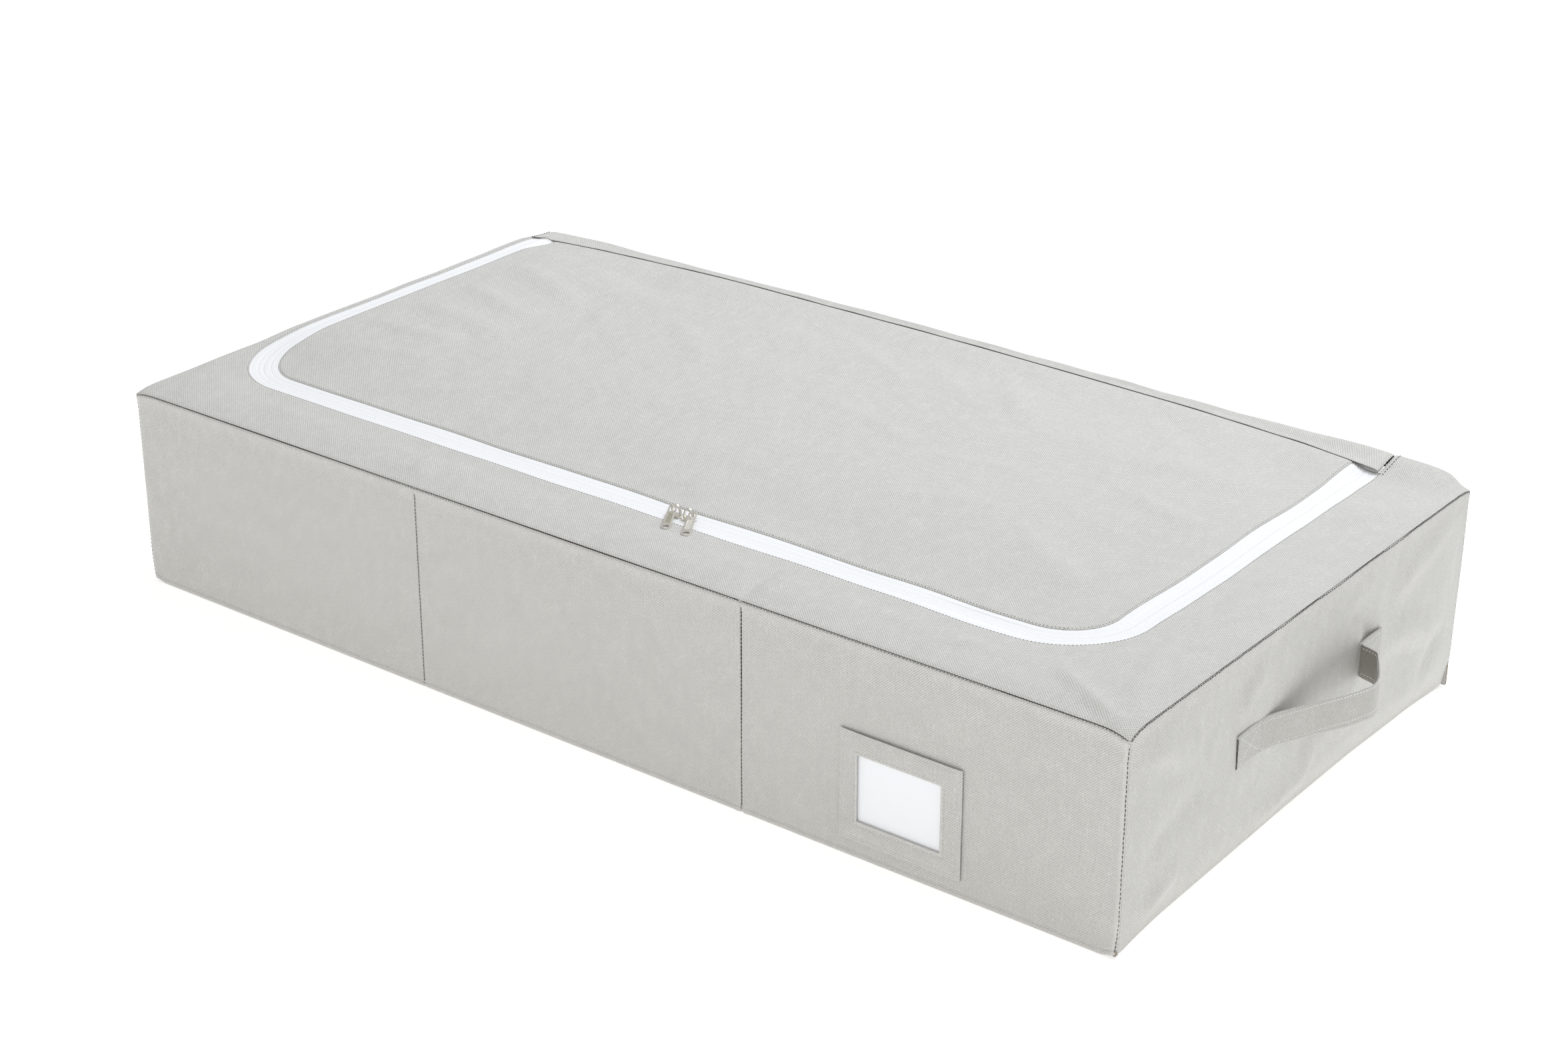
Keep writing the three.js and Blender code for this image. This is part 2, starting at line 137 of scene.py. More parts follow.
def crease(x, y, start, end, width, rise, bend=0.0):
    """A soft ridge, or a valley if rise is negative, from start to end, fading at both ends."""
    (x0, y0), (x1, y1) = start, end
    length = math.hypot(x1 - x0, y1 - y0)
    ux, uy = (x1 - x0) / length, (y1 - y0) / length
    along = ((x - x0) * ux + (y - y0) * uy) / length
    across = (y - y0) * ux - (x - x0) * uy - bend * 4 * along * (1 - along)
    ends = smooth(along, 0, 0.35) * (1 - smooth(along, 0.65, 1))
    return rise * ends * np.exp(-(across / width) ** 2)


def creases(x, y, table):
    return sum(crease(x, y, *row) for row in table)


def stack(*columns):
    return np.stack(np.broadcast_arrays(*columns), axis=-1).astype(float)


def run_along(path):
    """How far along a polyline each of its points lies."""
    return np.concatenate([[0], np.cumsum(np.linalg.norm(np.diff(path, axis=0), axis=1))])


def unit_tangents(line):
    tangents = np.gradient(line, axis=0)
    return tangents / np.linalg.norm(tangents, axis=1)[:, None]


# ---- the soft top: one height field for rim, lid, tapes, coils and stitches ----------------------

def zip_offset(x, y):
    """Distance from the zip's centre line in plan: positive on the rim, negative on the lid."""
    centre, half = (ZIP_LEFT + ZIP_RIGHT) / 2, (ZIP_RIGHT - ZIP_LEFT) / 2
    across = np.abs(x - centre) - (half - ZIP_RADIUS)
    ahead = (ZIP_FRONT + ZIP_RADIUS) - y
    outside = np.hypot(np.maximum(across, 0), np.maximum(ahead, 0))
    return outside + np.minimum(np.maximum(across, ahead), 0) - ZIP_RADIUS


# Creases in plan: start, end, width, rise, bend.
LID_CREASES = [
    ((-446, 150), (-300, 105), 13, 1.8, 6), ((-446, 92), (-320, 60), 11, 1.5, -5),
    ((-446, 20), (-290, 10), 14, 1.7, 4), ((-444, -45), (-330, -22), 10, 1.4, 3),
    ((-430, -110), (-330, -55), 9, 1.3, 2), ((-446, 205), (-250, 190), 12, -1.1, 5),
    ((-340, -150), (-240, -75), 14, 1.1, 6), ((-190, -158), (-130, -60), 12, 1.3, 8),
    ((-40, -158), (60, -90), 16, 0.9, 6), ((235, -155), (150, -60), 18, 1.0, 8),
    ((380, -100), (250, -30), 14, 1.2, 6), ((398, 40), (270, 70), 12, 1.1, -5),
    ((396, 150), (240, 130), 13, 1.0, 5), ((-150, 225), (60, 120), 10, 0.9, 12),
    ((60, 235), (160, 120), 9, 1.0, 6), ((200, 236), (330, 150), 10, -0.8, 8),
    ((-60, 80), (120, 40), 9, 0.8, 10), ((90, 20), (230, 60), 7, 0.7, 5),
    ((-250, 150), (-120, 60), 12, 0.9, 8), ((120, -60), (260, -10), 9, 0.7, 6),
]
RIM_CREASES = [
    ((497, -257), (405, -205), 5, 2.2, 4), ((490, -245), (455, -120), 7, 1.6, 6),
    ((163, -260), (158, -200), 4, -1.9, 2), ((171, -259), (184, -208), 4, 1.6, 2),
    ((-170, -256), (-196, -200), 7, 1.1, 3), ((-300, -250), (-245, -195), 9, 0.7, 3),
    ((470, 60), (444, -40), 8, 0.9, 5), ((488, 200), (440, 120), 9, 1.0, 5),
    ((20, -252), (70, -200), 9, 0.7, 3), ((300, -250), (360, -205), 8, 0.8, 3),
    ((-470, -240), (-430, -190), 8, 1.0, 3), ((-495, -200), (-486, -60), 4, 0.8, 2),
]


def corner_droop(x, y):
    """The sewn top corners pull down where three seams meet."""
    near = np.hypot(HALF_L - np.abs(x), HALF_W - np.abs(y))
    depth = np.where((x > 0) & (y < 0), 5.0, 3.0)
    return -depth * np.exp(-(near / 9) ** 1.3)


def back_roll(x):
    ends = smooth(HALF_L - np.abs(x), 0, 18)
    return soft_line(x, BACK_ROLL_X, BACK_ROLL_RISE, 14) * ends


def seam_y(x):
    return soft_line(x, SEAM_X, SEAM_Y, 26)


def seam_rise(x):
    return soft_line(x, SEAM_X, SEAM_RISE, 26)


def top_height(x, y):
    """How far the soft top stands over the rim's level."""
    x, y = np.asarray(x, float), np.asarray(y, float)
    q = zip_offset(x, y)
    edge = np.minimum(HALF_L - np.abs(x), y + HALF_W)
    # beside the front run the rim stays low, so that the pulls lie on it
    rim = (0.5 * smooth(q, 5, 13) + 1.5 * smooth(q, 27, 46)) * smooth(edge, 0, 22)
    rim = rim + 0.8 * smooth(q, 5, 15) * smooth(x, 385, 420) * smooth(edge, 0, 22)
    lid = 0.6 * smooth(-q, 5, 15) + 4.7 * smooth(-q, 16, 120)
    # the left run: the rim stays low, the tape tips over, and the lid's edge stands up as a ridge
    left = 7.0 * smooth(x, -500, -486) + 5.4 * smooth(x, -485, -453)
    left = left * (1 - smooth(x, -450, -300)) * smooth(y, -162, -70)
    height = rim + lid + left
    away = smooth(np.abs(q), 24, 50) * smooth(edge, 2, 30)
    height = height + 1.0 * ripples(x, y, 150, 3) * away
    height = height + 0.42 * ripples(x, y, 52, 5, stretch=2.4, turn=0.35) * away
    height = height + 0.16 * ripples(x, y, 21, 7, stretch=1.6, turn=-0.5) * away
    height = height + 1.7 * creases(x, y, LID_CREASES) * smooth(-q, 10, 30)
    height = height + 1.7 * creases(x, y, RIM_CREASES) * smooth(q, 11, 22)
    # the hinge seam is lifted by the back roll, and the rim's two back ends are part of the roll
    on_lid = smooth(-q, 0, 13)
    line = seam_y(x)
    seam = smooth(y, line - 52, line) * on_lid
    height = height * (1 - seam) + seam_rise(x) * seam
    rise = smooth(y, 215, ROLL_CREST) * (1 - on_lid)
    height = height * (1 - rise) + back_roll(x) * rise
    fall = smooth(y, ROLL_CREST - 1, HALF_W + 1.5) * (1 - on_lid)
    height = height * (1 - fall) - 1.2 * fall
    return height + corner_droop(x, y)


def top_point(x, y, lift=0.0):
    """A point of the soft top: the plan place pulled about a little beside the zip, and its height."""
    x, y = np.asarray(x, float), np.asarray(y, float)
    q = zip_offset(x, y)
    gx = (zip_offset(x + 1, y) - zip_offset(x - 1, y)) / 2
    gy = (zip_offset(x, y + 1) - zip_offset(x, y - 1)) / 2
    beside = smooth(np.abs(q), 3, 12) * (1 - smooth(np.abs(q), 24, 60))
    wave = np.where(q > 0, ripples(x, y, 80, 11), ripples(x, y, 105, 12))
    wave = 0.85 * wave * beside * (1 - smooth(y, 232, 246))
    near_zip = 1 - smooth(np.abs(q), 20, 66)
    dip = -2.2 * bell(x, 318, 75) * smooth(-y, 100, 150) * near_zip * smooth(np.abs(q), 4, 9)
    out = (2.2 - 1.4 * bell(y, 78, 60) + 2.5 * smooth(y, 190, 240)) * smooth(x, 380, 410)
    out = out * smooth(y, -110, -20) * near_zip
    height = top_height(x, y)
    return np.stack([x + gx * wave + out, y + gy * wave + dip, TOP + height + lift], axis=-1)


def zip_path(offset, back, step=4.0, arc_steps=40):
    """Plan points along the zip at this offset, from the back left, round the front, to the back
    right, with the matching point of the box's outer edge for each."""
    radius = ZIP_RADIUS + offset
    turn = ZIP_FRONT + ZIP_RADIUS
    left, right = ZIP_LEFT + ZIP_RADIUS, ZIP_RIGHT - ZIP_RADIUS
    run = np.linspace(back, turn, max(2, round((back - turn) / step)))
    front = np.linspace(left, right, round((right - left) / step))[:-1]
    share = np.arange(arc_steps) / arc_steps

    def arc(centre, start):
        angle = math.pi * (start + share / 2)
        return stack(centre + radius * np.cos(angle), turn + radius * np.sin(angle))

    def edge(before, corner, after):
        first, second = (np.clip(2 * share - i, 0, 1)[:, None] for i in (0, 1))
        return before + first * np.subtract(corner, before) + second * np.subtract(after, corner)

    inner = [stack(ZIP_LEFT - offset, run[:-1]), arc(left, 1), stack(front, ZIP_FRONT - offset),
             arc(right, 1.5), stack(ZIP_RIGHT + offset, run[::-1])]
    outer = [stack(-HALF_L, run[:-1]), edge((-HALF_L, turn), (-HALF_L, -HALF_W), (left, -HALF_W)),
             stack(front, -HALF_W), edge((right, -HALF_W), (HALF_L, -HALF_W), (HALF_L, turn)),
             stack(HALF_L, run[::-1])]
    return np.concatenate(inner), np.concatenate(outer)


# ---- camera, light and floor --------------------------------------------------------------------

def make_camera():
    azimuth, elevation, roll = (math.radians(a) for a in (37.52, 24.81, 0.13))
    distance, right_shift, up_shift = 2.539, 0.00445, 0.0929
    forward = Vector((-math.sin(azimuth) * math.cos(elevation),
                      math.cos(azimuth) * math.cos(elevation), -math.sin(elevation)))
    right = Vector((math.cos(azimuth), math.sin(azimuth), 0))
    up = right.cross(forward)
    right, up = (right * math.cos(roll) + up * math.sin(roll),
                 up * math.cos(roll) - right * math.sin(roll))
    data = bpy.data.cameras.new("camera")
    data.lens = 68.0
    data.sensor_width = 36
    camera = bpy.data.objects.new("camera", data)
    place = -forward * distance + right * right_shift + up * up_shift
    camera.matrix_world = Matrix.Translation(place) @ Matrix((right, up, -forward)).transposed().to_4x4()
    scene.collection.objects.link(camera)
    scene.camera = camera


def soft_light(name, place, target, size, power, colour):
    data = bpy.data.lights.new(name, "AREA")
    data.shape = "DISK"
    data.size = size
    data.energy = power
    data.color = colour
    light = bpy.data.objects.new(name, data)
    light.location = place
    light.rotation_euler = (Vector(target) - Vector(place)).to_track_quat("-Z", "Y").to_euler()
    scene.collection.objects.link(light)


def make_studio():
    world = bpy.data.worlds.new("studio")
    world.use_nodes = True
    sky = world.node_tree.nodes["Background"]
    sky.inputs["Color"].default_value = (1, 1, 1, 1)
    sky.inputs["Strength"].default_value = 0.52
    scene.world = world
    soft_light("back_softbox", (0.35, 1.2, 2.3), (0, 0, 0.15), 1.3, 44, (0.9, 0.935, 0.99))
    soft_light("front_softbox", (0.6, -2.6, 1.6), (0, 0, 0.1), 1.2, 5, (1.0, 0.98, 0.945))
    soft_light("right_softbox", (2.3, -0.6, 1.3), (0.3, 0, 0.1), 1.2, 1.5, (1.0, 0.9, 0.75))
    scene.view_settings.view_transform = "Standard"
    size = 60       # metres: far enough for its edge not to show as a horizon
    mesh = bpy.data.meshes.new("floor")
    corners = [(-size, -size, 0), (size, -size, 0), (size, size, 0), (-size, size, 0)]
    mesh.from_pydata(corners, [], [(0, 1, 2, 3)])
    floor = bpy.data.objects.new("floor", mesh)
    floor.location.z = -0.0005
    scene.collection.objects.link(floor)
    paint = Paint("floor", (0.96, 0.96, 0.96), roughness=0.9)
    paint.shader.inputs["Emission Color"].default_value = (1, 1, 1, 1)
    paint.shader.inputs["Emission Strength"].default_value = 0.48
    mesh.materials.append(paint.material)


# ---- materials ----------------------------------------------------------------------------------

class Paint:
    """One procedural material: a Principled shader and the nodes that feed it."""

    def __init__(self, name, colour, **sockets):
        self.material = bpy.data.materials.new(name)
        self.material.use_nodes = True
        self.tree = self.material.node_tree
        self.shader = self.tree.nodes["Principled BSDF"]
        self.colour = (*colour, 1)
        self.shader.inputs["Base Color"].default_value = self.colour
        for socket, value in sockets.items():
            self.shader.inputs[socket.replace("_", " ").title().replace("Ior", "IOR")].default_value = value

    def node(self, kind, values=(), **settings):
        made = self.tree.nodes.new("ShaderNode" + kind)
        for key, value in settings.items():
            setattr(made, key, value)
        for socket, value in dict(values).items():
            if hasattr(value, "links"):
                self.tree.links.new(value, made.inputs[socket])
            else:
                made.inputs[socket].default_value = value
        return made

    def math(self, operation, *values):
        return self.node("Math", enumerate(values), operation=operation).outputs[0]

    def place(self):
        return self.node("TexCoord").outputs["Object"]

    def cloth_place(self):
        return self.node("Attribute", attribute_name="flat").outputs["Vector"]

    def noise(self, vector, scale, detail=2.0, roughness=0.5, stretch=(1, 1, 1)):
        mapped = self.node("Mapping", {"Vector": vector, "Scale": stretch}).outputs[0]
        values = {"Vector": mapped, "Scale": scale, "Detail": detail, "Roughness": roughness}
        return self.node("TexNoise", values).outputs["Fac"]

    def ramp(self, value, low, high, to_low=0.0, to_high=1.0):
        values = {"Value": value, "From Min": low, "From Max": high, "To Min": to_low, "To Max": to_high}
        return self.node("MapRange", values, interpolation_type="SMOOTHSTEP").outputs[0]

    def tint(self, colour, factor, other):
        """Colour moved towards other, by factor."""
        values = {"Factor": factor, 6: colour, 7: other}
        return self.node("Mix", values, data_type="RGBA").outputs[2]

    def set_colour(self, colour):
        self.tree.links.new(colour, self.shader.inputs["Base Color"])

    def set_roughness(self, value):
        self.tree.links.new(value, self.shader.inputs["Roughness"])

    def set_bump(self, height, distance, strength=1.0, over=None):
        values = {"Height": height, "Distance": distance, "Strength": strength}
        if over is not None:
            values["Normal"] = over
        normal = self.node("Bump", values).outputs[0]
        self.tree.links.new(normal, self.shader.inputs["Normal"])
        return normal


def darker(colour, share):
    return (*(c * share for c in colour[:3]), 1)


def grained(name, colour, grain, span, share, bump, **sockets):
    """A plain paint with a fine grain, darker by share where the grain's noise is over the span."""
    paint = Paint(name, colour, **sockets)
    noise = paint.noise(paint.place(), *grain)
    paint.set_colour(paint.tint(paint.colour, paint.ramp(noise, *span), darker(colour, share)))
    paint.set_bump(noise, *bump)
    return paint


def emboss(paint, flat):
    """The heat-pressed dots: 1 in the middle of each dot, 0 between them."""
    split = paint.node("SeparateXYZ", {0: flat})
    waves = [paint.math("COSINE", paint.math("MULTIPLY", split.outputs[i], 2 * math.pi / (pitch * MM)))
             for i, pitch in enumerate((EMBOSS_X, EMBOSS_Y))]
    dots = paint.ramp(paint.math("MULTIPLY", *waves), 0.22, 0.85)
    rough = paint.math("SUBTRACT", 1.0, split.outputs[2])
    return paint.math("MULTIPLY", dots, rough)


def fabric_material(name, colour, dot_depth=1.0):
    paint = Paint(name, colour, roughness=0.88, sheen_weight=0.18, sheen_roughness=0.45,
                  specular_ior_level=0.28)
    flat = paint.cloth_place()
    dots = emboss(paint, flat)
    fibres = paint.noise(flat, 1500, 3, 0.65, (1, 0.45, 0))
    tangle = paint.noise(flat, 620, 2, 0.6, (1, 1, 0))
    cloud = paint.noise(paint.place(), 9, 4, 0.6)
    scuffs = paint.noise(flat, 110, 4, 0.66, (1, 0.5, 0))
    grain = paint.noise(flat, 420, 3, 0.7, (1, 1, 0))
    tone = paint.tint(paint.colour, paint.ramp(cloud, 0.3, 0.75), darker(colour, 0.94))
    tone = paint.tint(tone, paint.ramp(scuffs, 0.42, 0.66), darker(colour, 1.06))
    tone = paint.tint(tone, paint.ramp(grain, 0.35, 0.7), darker(colour, 0.88))
    tone = paint.tint(tone, paint.math("MULTIPLY", paint.ramp(fibres, 0.35, 0.72), 0.5), darker(colour, 0.88))
    tone = paint.tint(tone, paint.math("MULTIPLY", dots, 0.8 * dot_depth), darker(colour, 0.58))
    paint.set_colour(tone)
    paint.set_roughness(paint.ramp(dots, 0, 1, 0.9, 0.62))
    height = paint.math("MULTIPLY_ADD", dots, -0.9 * dot_depth, paint.math("MULTIPLY", tangle, 0.5))
    height = paint.math("MULTIPLY_ADD", fibres, 0.35, height)
    crumple = paint.noise(flat, 30, 4, 0.52, (1, 0.6, 0))
    soft = paint.set_bump(crumple, 0.0044, 1.0)
    paint.set_bump(height, 0.00026, 1.0, soft)
    return paint.material


def tape_material():
    colour = (0.985, 0.99, 1.0)
    paint = Paint("zip_tape_weave", colour, roughness=0.7, sheen_weight=0.2, specular_ior_level=0.3)
    flat = paint.cloth_place()
    split = paint.node("SeparateXYZ", {0: flat})
    waves = [paint.math("SINE", paint.math("MULTIPLY", split.outputs[i], 2 * math.pi / pitch))
             for i, pitch in enumerate((0.0007, 0.0005))]
    weave = paint.math("MULTIPLY", *waves)
    fuzz = paint.noise(flat, 2500, 2)
    paint.set_colour(paint.tint(paint.colour, paint.ramp(weave, 0.2, 1.0), darker(colour, 0.94)))
    paint.set_bump(paint.math("ADD", weave, fuzz), 0.00006, 0.6)
    return paint.material


def coil_material():
    return grained("zip_coil_nylon", (0.86, 0.87, 0.89), (900, 2), (0.4, 0.8), 0.9, (0.00003, 0.5),
                   roughness=0.35, specular_ior_level=0.5).material


def nickel_material(name, colour, roughness):
    paint = Paint(name, colour, metallic=1.0)
    smudges = paint.noise(paint.place(), 420, 3, 0.6)
    brush = paint.noise(paint.place(), 2400, 2, 0.5, (1, 0.25, 1))
    paint.set_colour(paint.tint(paint.colour, paint.ramp(smudges, 0.35, 0.75), darker(colour, 0.82)))
    paint.set_roughness(paint.ramp(smudges, 0.3, 0.8, roughness, roughness + 0.14))
    paint.set_bump(brush, 0.00002, 0.35)
    return paint.material


def film_material():
    paint = Paint("clear_film", (0.94, 0.95, 0.96), roughness=0.12, alpha=0.04, ior=1.45)
    paint.set_bump(paint.noise(paint.place(), 30, 2), 0.0006, 0.4)
    return paint.material


def card_material():
    paint = grained("card_paper", (0.975, 0.98, 1.0), (1800, 3, 0.6), (0.35, 0.8), 0.975,
                    (0.00005, 0.4), roughness=0.8, specular_ior_level=0.3)
    # a touch of glow makes the card brighter than its lamps light it: painted light
    paint.shader.inputs["Emission Color"].default_value = (0.95, 0.97, 1, 1)
    paint.shader.inputs["Emission Strength"].default_value = 0.05
    return paint.material


def board_material():
    colour = (0.36, 0.31, 0.25)
    paint = Paint("grey_board", colour, roughness=0.92, specular_ior_level=0.2)
    fleck = paint.noise(paint.place(), 520, 4, 0.7)
    cloud = paint.noise(paint.place(), 30, 3)
    tone = paint.tint(paint.colour, paint.ramp(cloud, 0.3, 0.7), darker(colour, 0.86))
    paint.set_colour(paint.tint(tone, paint.ramp(fleck, 0.55, 0.75), (0.5, 0.46, 0.4, 1)))
    paint.set_bump(fleck, 0.0001, 0.6)
    return paint.material


def thread_material(name, colour):
    return grained(name, colour, (3000, 2), (0.4, 0.8), 0.75, (0.00004, 0.6),
                   roughness=0.6, sheen_weight=0.2).material


# ---- meshes -------------------------------------------------------------------------------------

@contextmanager
def editing(mesh):
    """A bmesh of this mesh, written back when the block ends."""
    work = bmesh.new()
    work.from_mesh(mesh)
    yield work
    work.to_mesh(mesh)
    work.free()


def shade_smooth(mesh):
    mesh.polygons.foreach_set("use_smooth", [True] * len(mesh.polygons))


def make_object(name, points, faces, material, flat=None, facing=None):
    """A mesh object from points in millimetres. flat is each point's place on the sheet as cut, with
    1 for plain or 0 for embossed. facing turns its faces to look that way on the whole."""
    mesh = bpy.data.meshes.new(name)
    points = np.asarray(points, float).reshape(-1, 3)
    mesh.from_pydata((points * MM).tolist(), [], faces)
    if flat is not None:
        spread = np.asarray(flat, float).reshape(-1, 3) * (MM, MM, 1)
        mesh.attributes.new("flat", "FLOAT_VECTOR", "POINT").data.foreach_set("vector", spread.ravel())
    shade_smooth(mesh)
    mesh.materials.append(material)
    mesh.update()
    if facing is not None:
        total = sum((p.normal * p.area for p in mesh.polygons), Vector())
        if total.dot(Vector(facing)) < 0:
            mesh.flip_normals()
    obj = bpy.data.objects.new(name, mesh)
    scene.collection.objects.link(obj)
    return obj


def settle(obj, sharp=50):
    """Applies the modifiers, drops loose points and keeps edges sharper than this angle crisp."""
    graph = bpy.context.evaluated_depsgraph_get()
    mesh = bpy.data.meshes.new_from_object(obj.evaluated_get(graph))
    obj.modifiers.clear()
    obj.data = mesh
    with editing(mesh) as work:
        loose = [v for v in work.verts if not v.link_faces]
        bmesh.ops.delete(work, geom=loose, context="VERTS")
    mesh.set_sharp_from_angle(angle=math.radians(sharp))
    return obj


def thicken(obj, thick):
    """Gives a surface its thickness, on the side away from its faces."""
    layer = obj.modifiers.new("thickness", "SOLIDIFY")
    layer.thickness = thick * MM
    layer.offset = -1
    return settle(obj)


def grid_faces(rows, cols, keep=None):
    """Faces of a grid of points. keep is a table of the cells that have a face."""
    faces = []
    for r in range(rows - 1):
        for c in range(cols - 1):
            if keep is None or keep[r, c]:
                a = r * cols + c
                faces.append((a, a + 1, a + cols + 1, a + cols))
    return faces


def cloth(name, points, flat, material, facing, thick=FABRIC, keep=None):
    """A sheet of fabric from a grid of points, thickened away from the way it faces."""
    rows, cols = points.shape[:2]
    spread = np.zeros((rows, cols, 3))
    spread[..., :flat.shape[-1]] = flat
    return thicken(make_object(name, points, grid_faces(rows, cols, keep), material, spread, facing), thick)


def resample(path, step):
    """Points at even steps along a polyline, and the polyline's length."""
    path = np.asarray(path, float)
    run = run_along(path)
    at = np.arange(0, run[-1], step)
    return np.stack([np.interp(at, run, path[:, i]) for i in range(3)], axis=-1), run[-1]


def tube_faces(rings, sides):
    """Faces that join rings of points one after another, with both ends closed."""
    faces = []
    for i in range(rings - 1):
        for k in range(sides):
            a, b = i * sides + k, i * sides + (k + 1) % sides
            faces.append((a, b, b + sides, a + sides))
    last = (rings - 1) * sides
    return faces + [tuple(range(sides))[::-1], tuple(range(last, last + sides))]


def tube(points, radii, sides):
    """Points and faces of a tube along a short line of points."""
    ring = []
    for i, p in enumerate(points):
        ahead = points[min(i + 1, len(points) - 1)] - points[max(i - 1, 0)]
        ahead.normalize()
        across = ahead.orthogonal() if abs(ahead.z) > 0.9 else ahead.cross(Vector((0, 0, 1)))
        side = across.normalized()
        up = side.cross(ahead)
        for k in range(sides):
            a = 2 * math.pi * k / sides
            ring.append(p + radii[i] * (side * math.cos(a) + up * math.sin(a)))
    return ring, tube_faces(len(points), sides)


class Sewing:
    """Collects stitches, each a small raised thread, and makes them one piece."""

    FINE = 0.25     # step along a path at which a stitch may start or end

    def __init__(self, seed):
        self.points, self.faces = [], []
        self.rng = random.Random(seed)

    def stitch(self, start, end, out, radius=0.24, proud=0.22):
        start, end, out = Vector(start), Vector(end), Vector(out)
        line = [start - out * radius, start.lerp(end, 0.2) + out * proud * 0.7,
                start.lerp(end, 0.5) + out * proud, start.lerp(end, 0.8) + out * proud * 0.7,
                end - out * radius]
        ring, faces = tube(line, [radius * r for r in (0.7, 1, 1.05, 1, 0.7)], 6)
        base = len(self.points)
        self.points += ring
        self.faces += [tuple(base + i for i in f) for f in faces]

    def stitch_ends(self, path, length, gap):
        """Where each stitch of a running stitch starts and ends along a path."""
        points, total = resample(path, self.FINE)
        step = length + gap
        for i in range(int(total / step)):
            yield [points[min(int(at / self.FINE), len(points) - 1)] for at in (i * step, i * step + length)]

    def line(self, path, out, length=2.4, gap=0.9, radius=0.24, wander=0.08):
        """A running stitch along a path, lying on a surface that faces out."""
        out = Vector(out)
        for a, b in self.stitch_ends(path, length, gap):
            side = (Vector(b) - Vector(a)).cross(out).normalized() * self.rng.uniform(-wander, wander)
            self.stitch(Vector(a) + side, Vector(b) + side, out, radius)

    def straight_lines(self, corners, *stitch):
        """A running stitch from each of these corners to the next."""
        for start_and_end in zip(corners[:-1], corners[1:]):
            self.line(start_and_end, *stitch)

    def zigzag(self, path, out, width=1.6, step=1.6, radius=0.22):
        out = Vector(out)
        points, _ = resample(path, step)
        for i in range(len(points) - 1):
            a, b = Vector(points[i]), Vector(points[i + 1])
            side = (b - a).cross(out).normalized() * width / 2
            first, second = (side, -side) if i % 2 else (-side, side)
            self.stitch(a + first, b + second, out, radius)

    def piece(self, name, material):
        return make_object(name, self.points, self.faces, material)


def ride(obj, body, slot, *nodes):
    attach(obj, body)
    if nodes:
        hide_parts(*nodes)
    return obj


def edge_inset(from_edge, reach=2.2, depth=1.5):
    """How far a panel turns in beside a seam at its edge."""
    return depth * (1 - smooth(from_edge, 0, reach)) ** 1.4


# ---- top pieces ---------------------------------------------------------------------------------

def hem_lip(lip):
    """The fabric's folded edge hugs the tape, with a slight groove under its stitches."""
    return -0.3 * (1 - smooth(lip, 0.2, 4)) - 0.35 * (1 - smooth(lip, 0, 0.7)) - 0.12 * bell(lip, 1.3, 0.7)


def make_rim():
    """The U-shaped top piece that runs round the lid's opening."""
    inner, outer = zip_path(TAPE_SHOWING, HALF_W)
    shares = np.concatenate([[0, 0.015, 0.04], np.linspace(0.08, 0.93, 18), [0.96, 0.985, 1]])
    plan = inner[None] * (1 - shares[:, None, None]) + outer[None] * shares[:, None, None]
    x, y = plan[..., 0], plan[..., 1]
    points = top_point(x, y)
    edge = np.minimum(np.minimum(HALF_L - np.abs(x), y + HALF_W), HALF_W - y)
    points[..., 2] -= 1.1 * (1 - smooth(edge, 0, 1.8))
    points[..., 2] += hem_lip(zip_offset(x, y) - TAPE_SHOWING)
    rim = cloth("rim_fabric", points, stack(x, y), FABRIC_GREY, (0, 0, 1))
    return ride(rim, "box", "fabric_grey", "rim_panel")


def lid_rows():
    """Rows of plan points over the lid flap, each from its left edge to its right edge."""
    offset, turn = -TAPE_SHOWING, ZIP_FRONT + ZIP_RADIUS
    radius = ZIP_RADIUS + offset
    angles = np.linspace(math.pi / 2, 0, 20)[:-1]
    straight = np.concatenate([np.linspace(turn, 232, 84)[:-1], np.linspace(232, LID_BACK - 1.2, 12)])
    ys = np.concatenate([turn - radius * np.sin(angles), straight])
    insets = np.concatenate([radius * (1 - np.cos(angles)), 0 * straight])
    shares = np.concatenate([[0, 0.0012, 0.003], np.linspace(0, 1, 214)[1:-1], [0.997, 0.9988, 1]])
    start, end = (ZIP_LEFT - offset + insets)[:, None], (ZIP_RIGHT + offset - insets)[:, None]
    return stack(start + (end - start) * shares, ys[:, None])


def bend_at_hinge(obj):
    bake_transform(obj)


def make_lid():
    """The flap inside the zip, up to its back edge."""
    plan = lid_rows()
    x, y = plan[..., 0], plan[..., 1]
    back = y[-1, 0]
    y = y + smooth(y, 205, back) * (seam_y(x) + 3 - back)
    points = top_point(x, y)
    points[..., 2] += hem_lip(-zip_offset(x, y) - TAPE_SHOWING)
    # the flap's back edge runs under the back strip
    points[..., 2] -= 0.9 * smooth(y - seam_y(x), -0.5, 1.5)
    lid = cloth("lid_fabric", points, stack(x, y), FABRIC_GREY, (0, 0, 1))
    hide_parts("lid_panel")
    bend_at_hinge(lid)


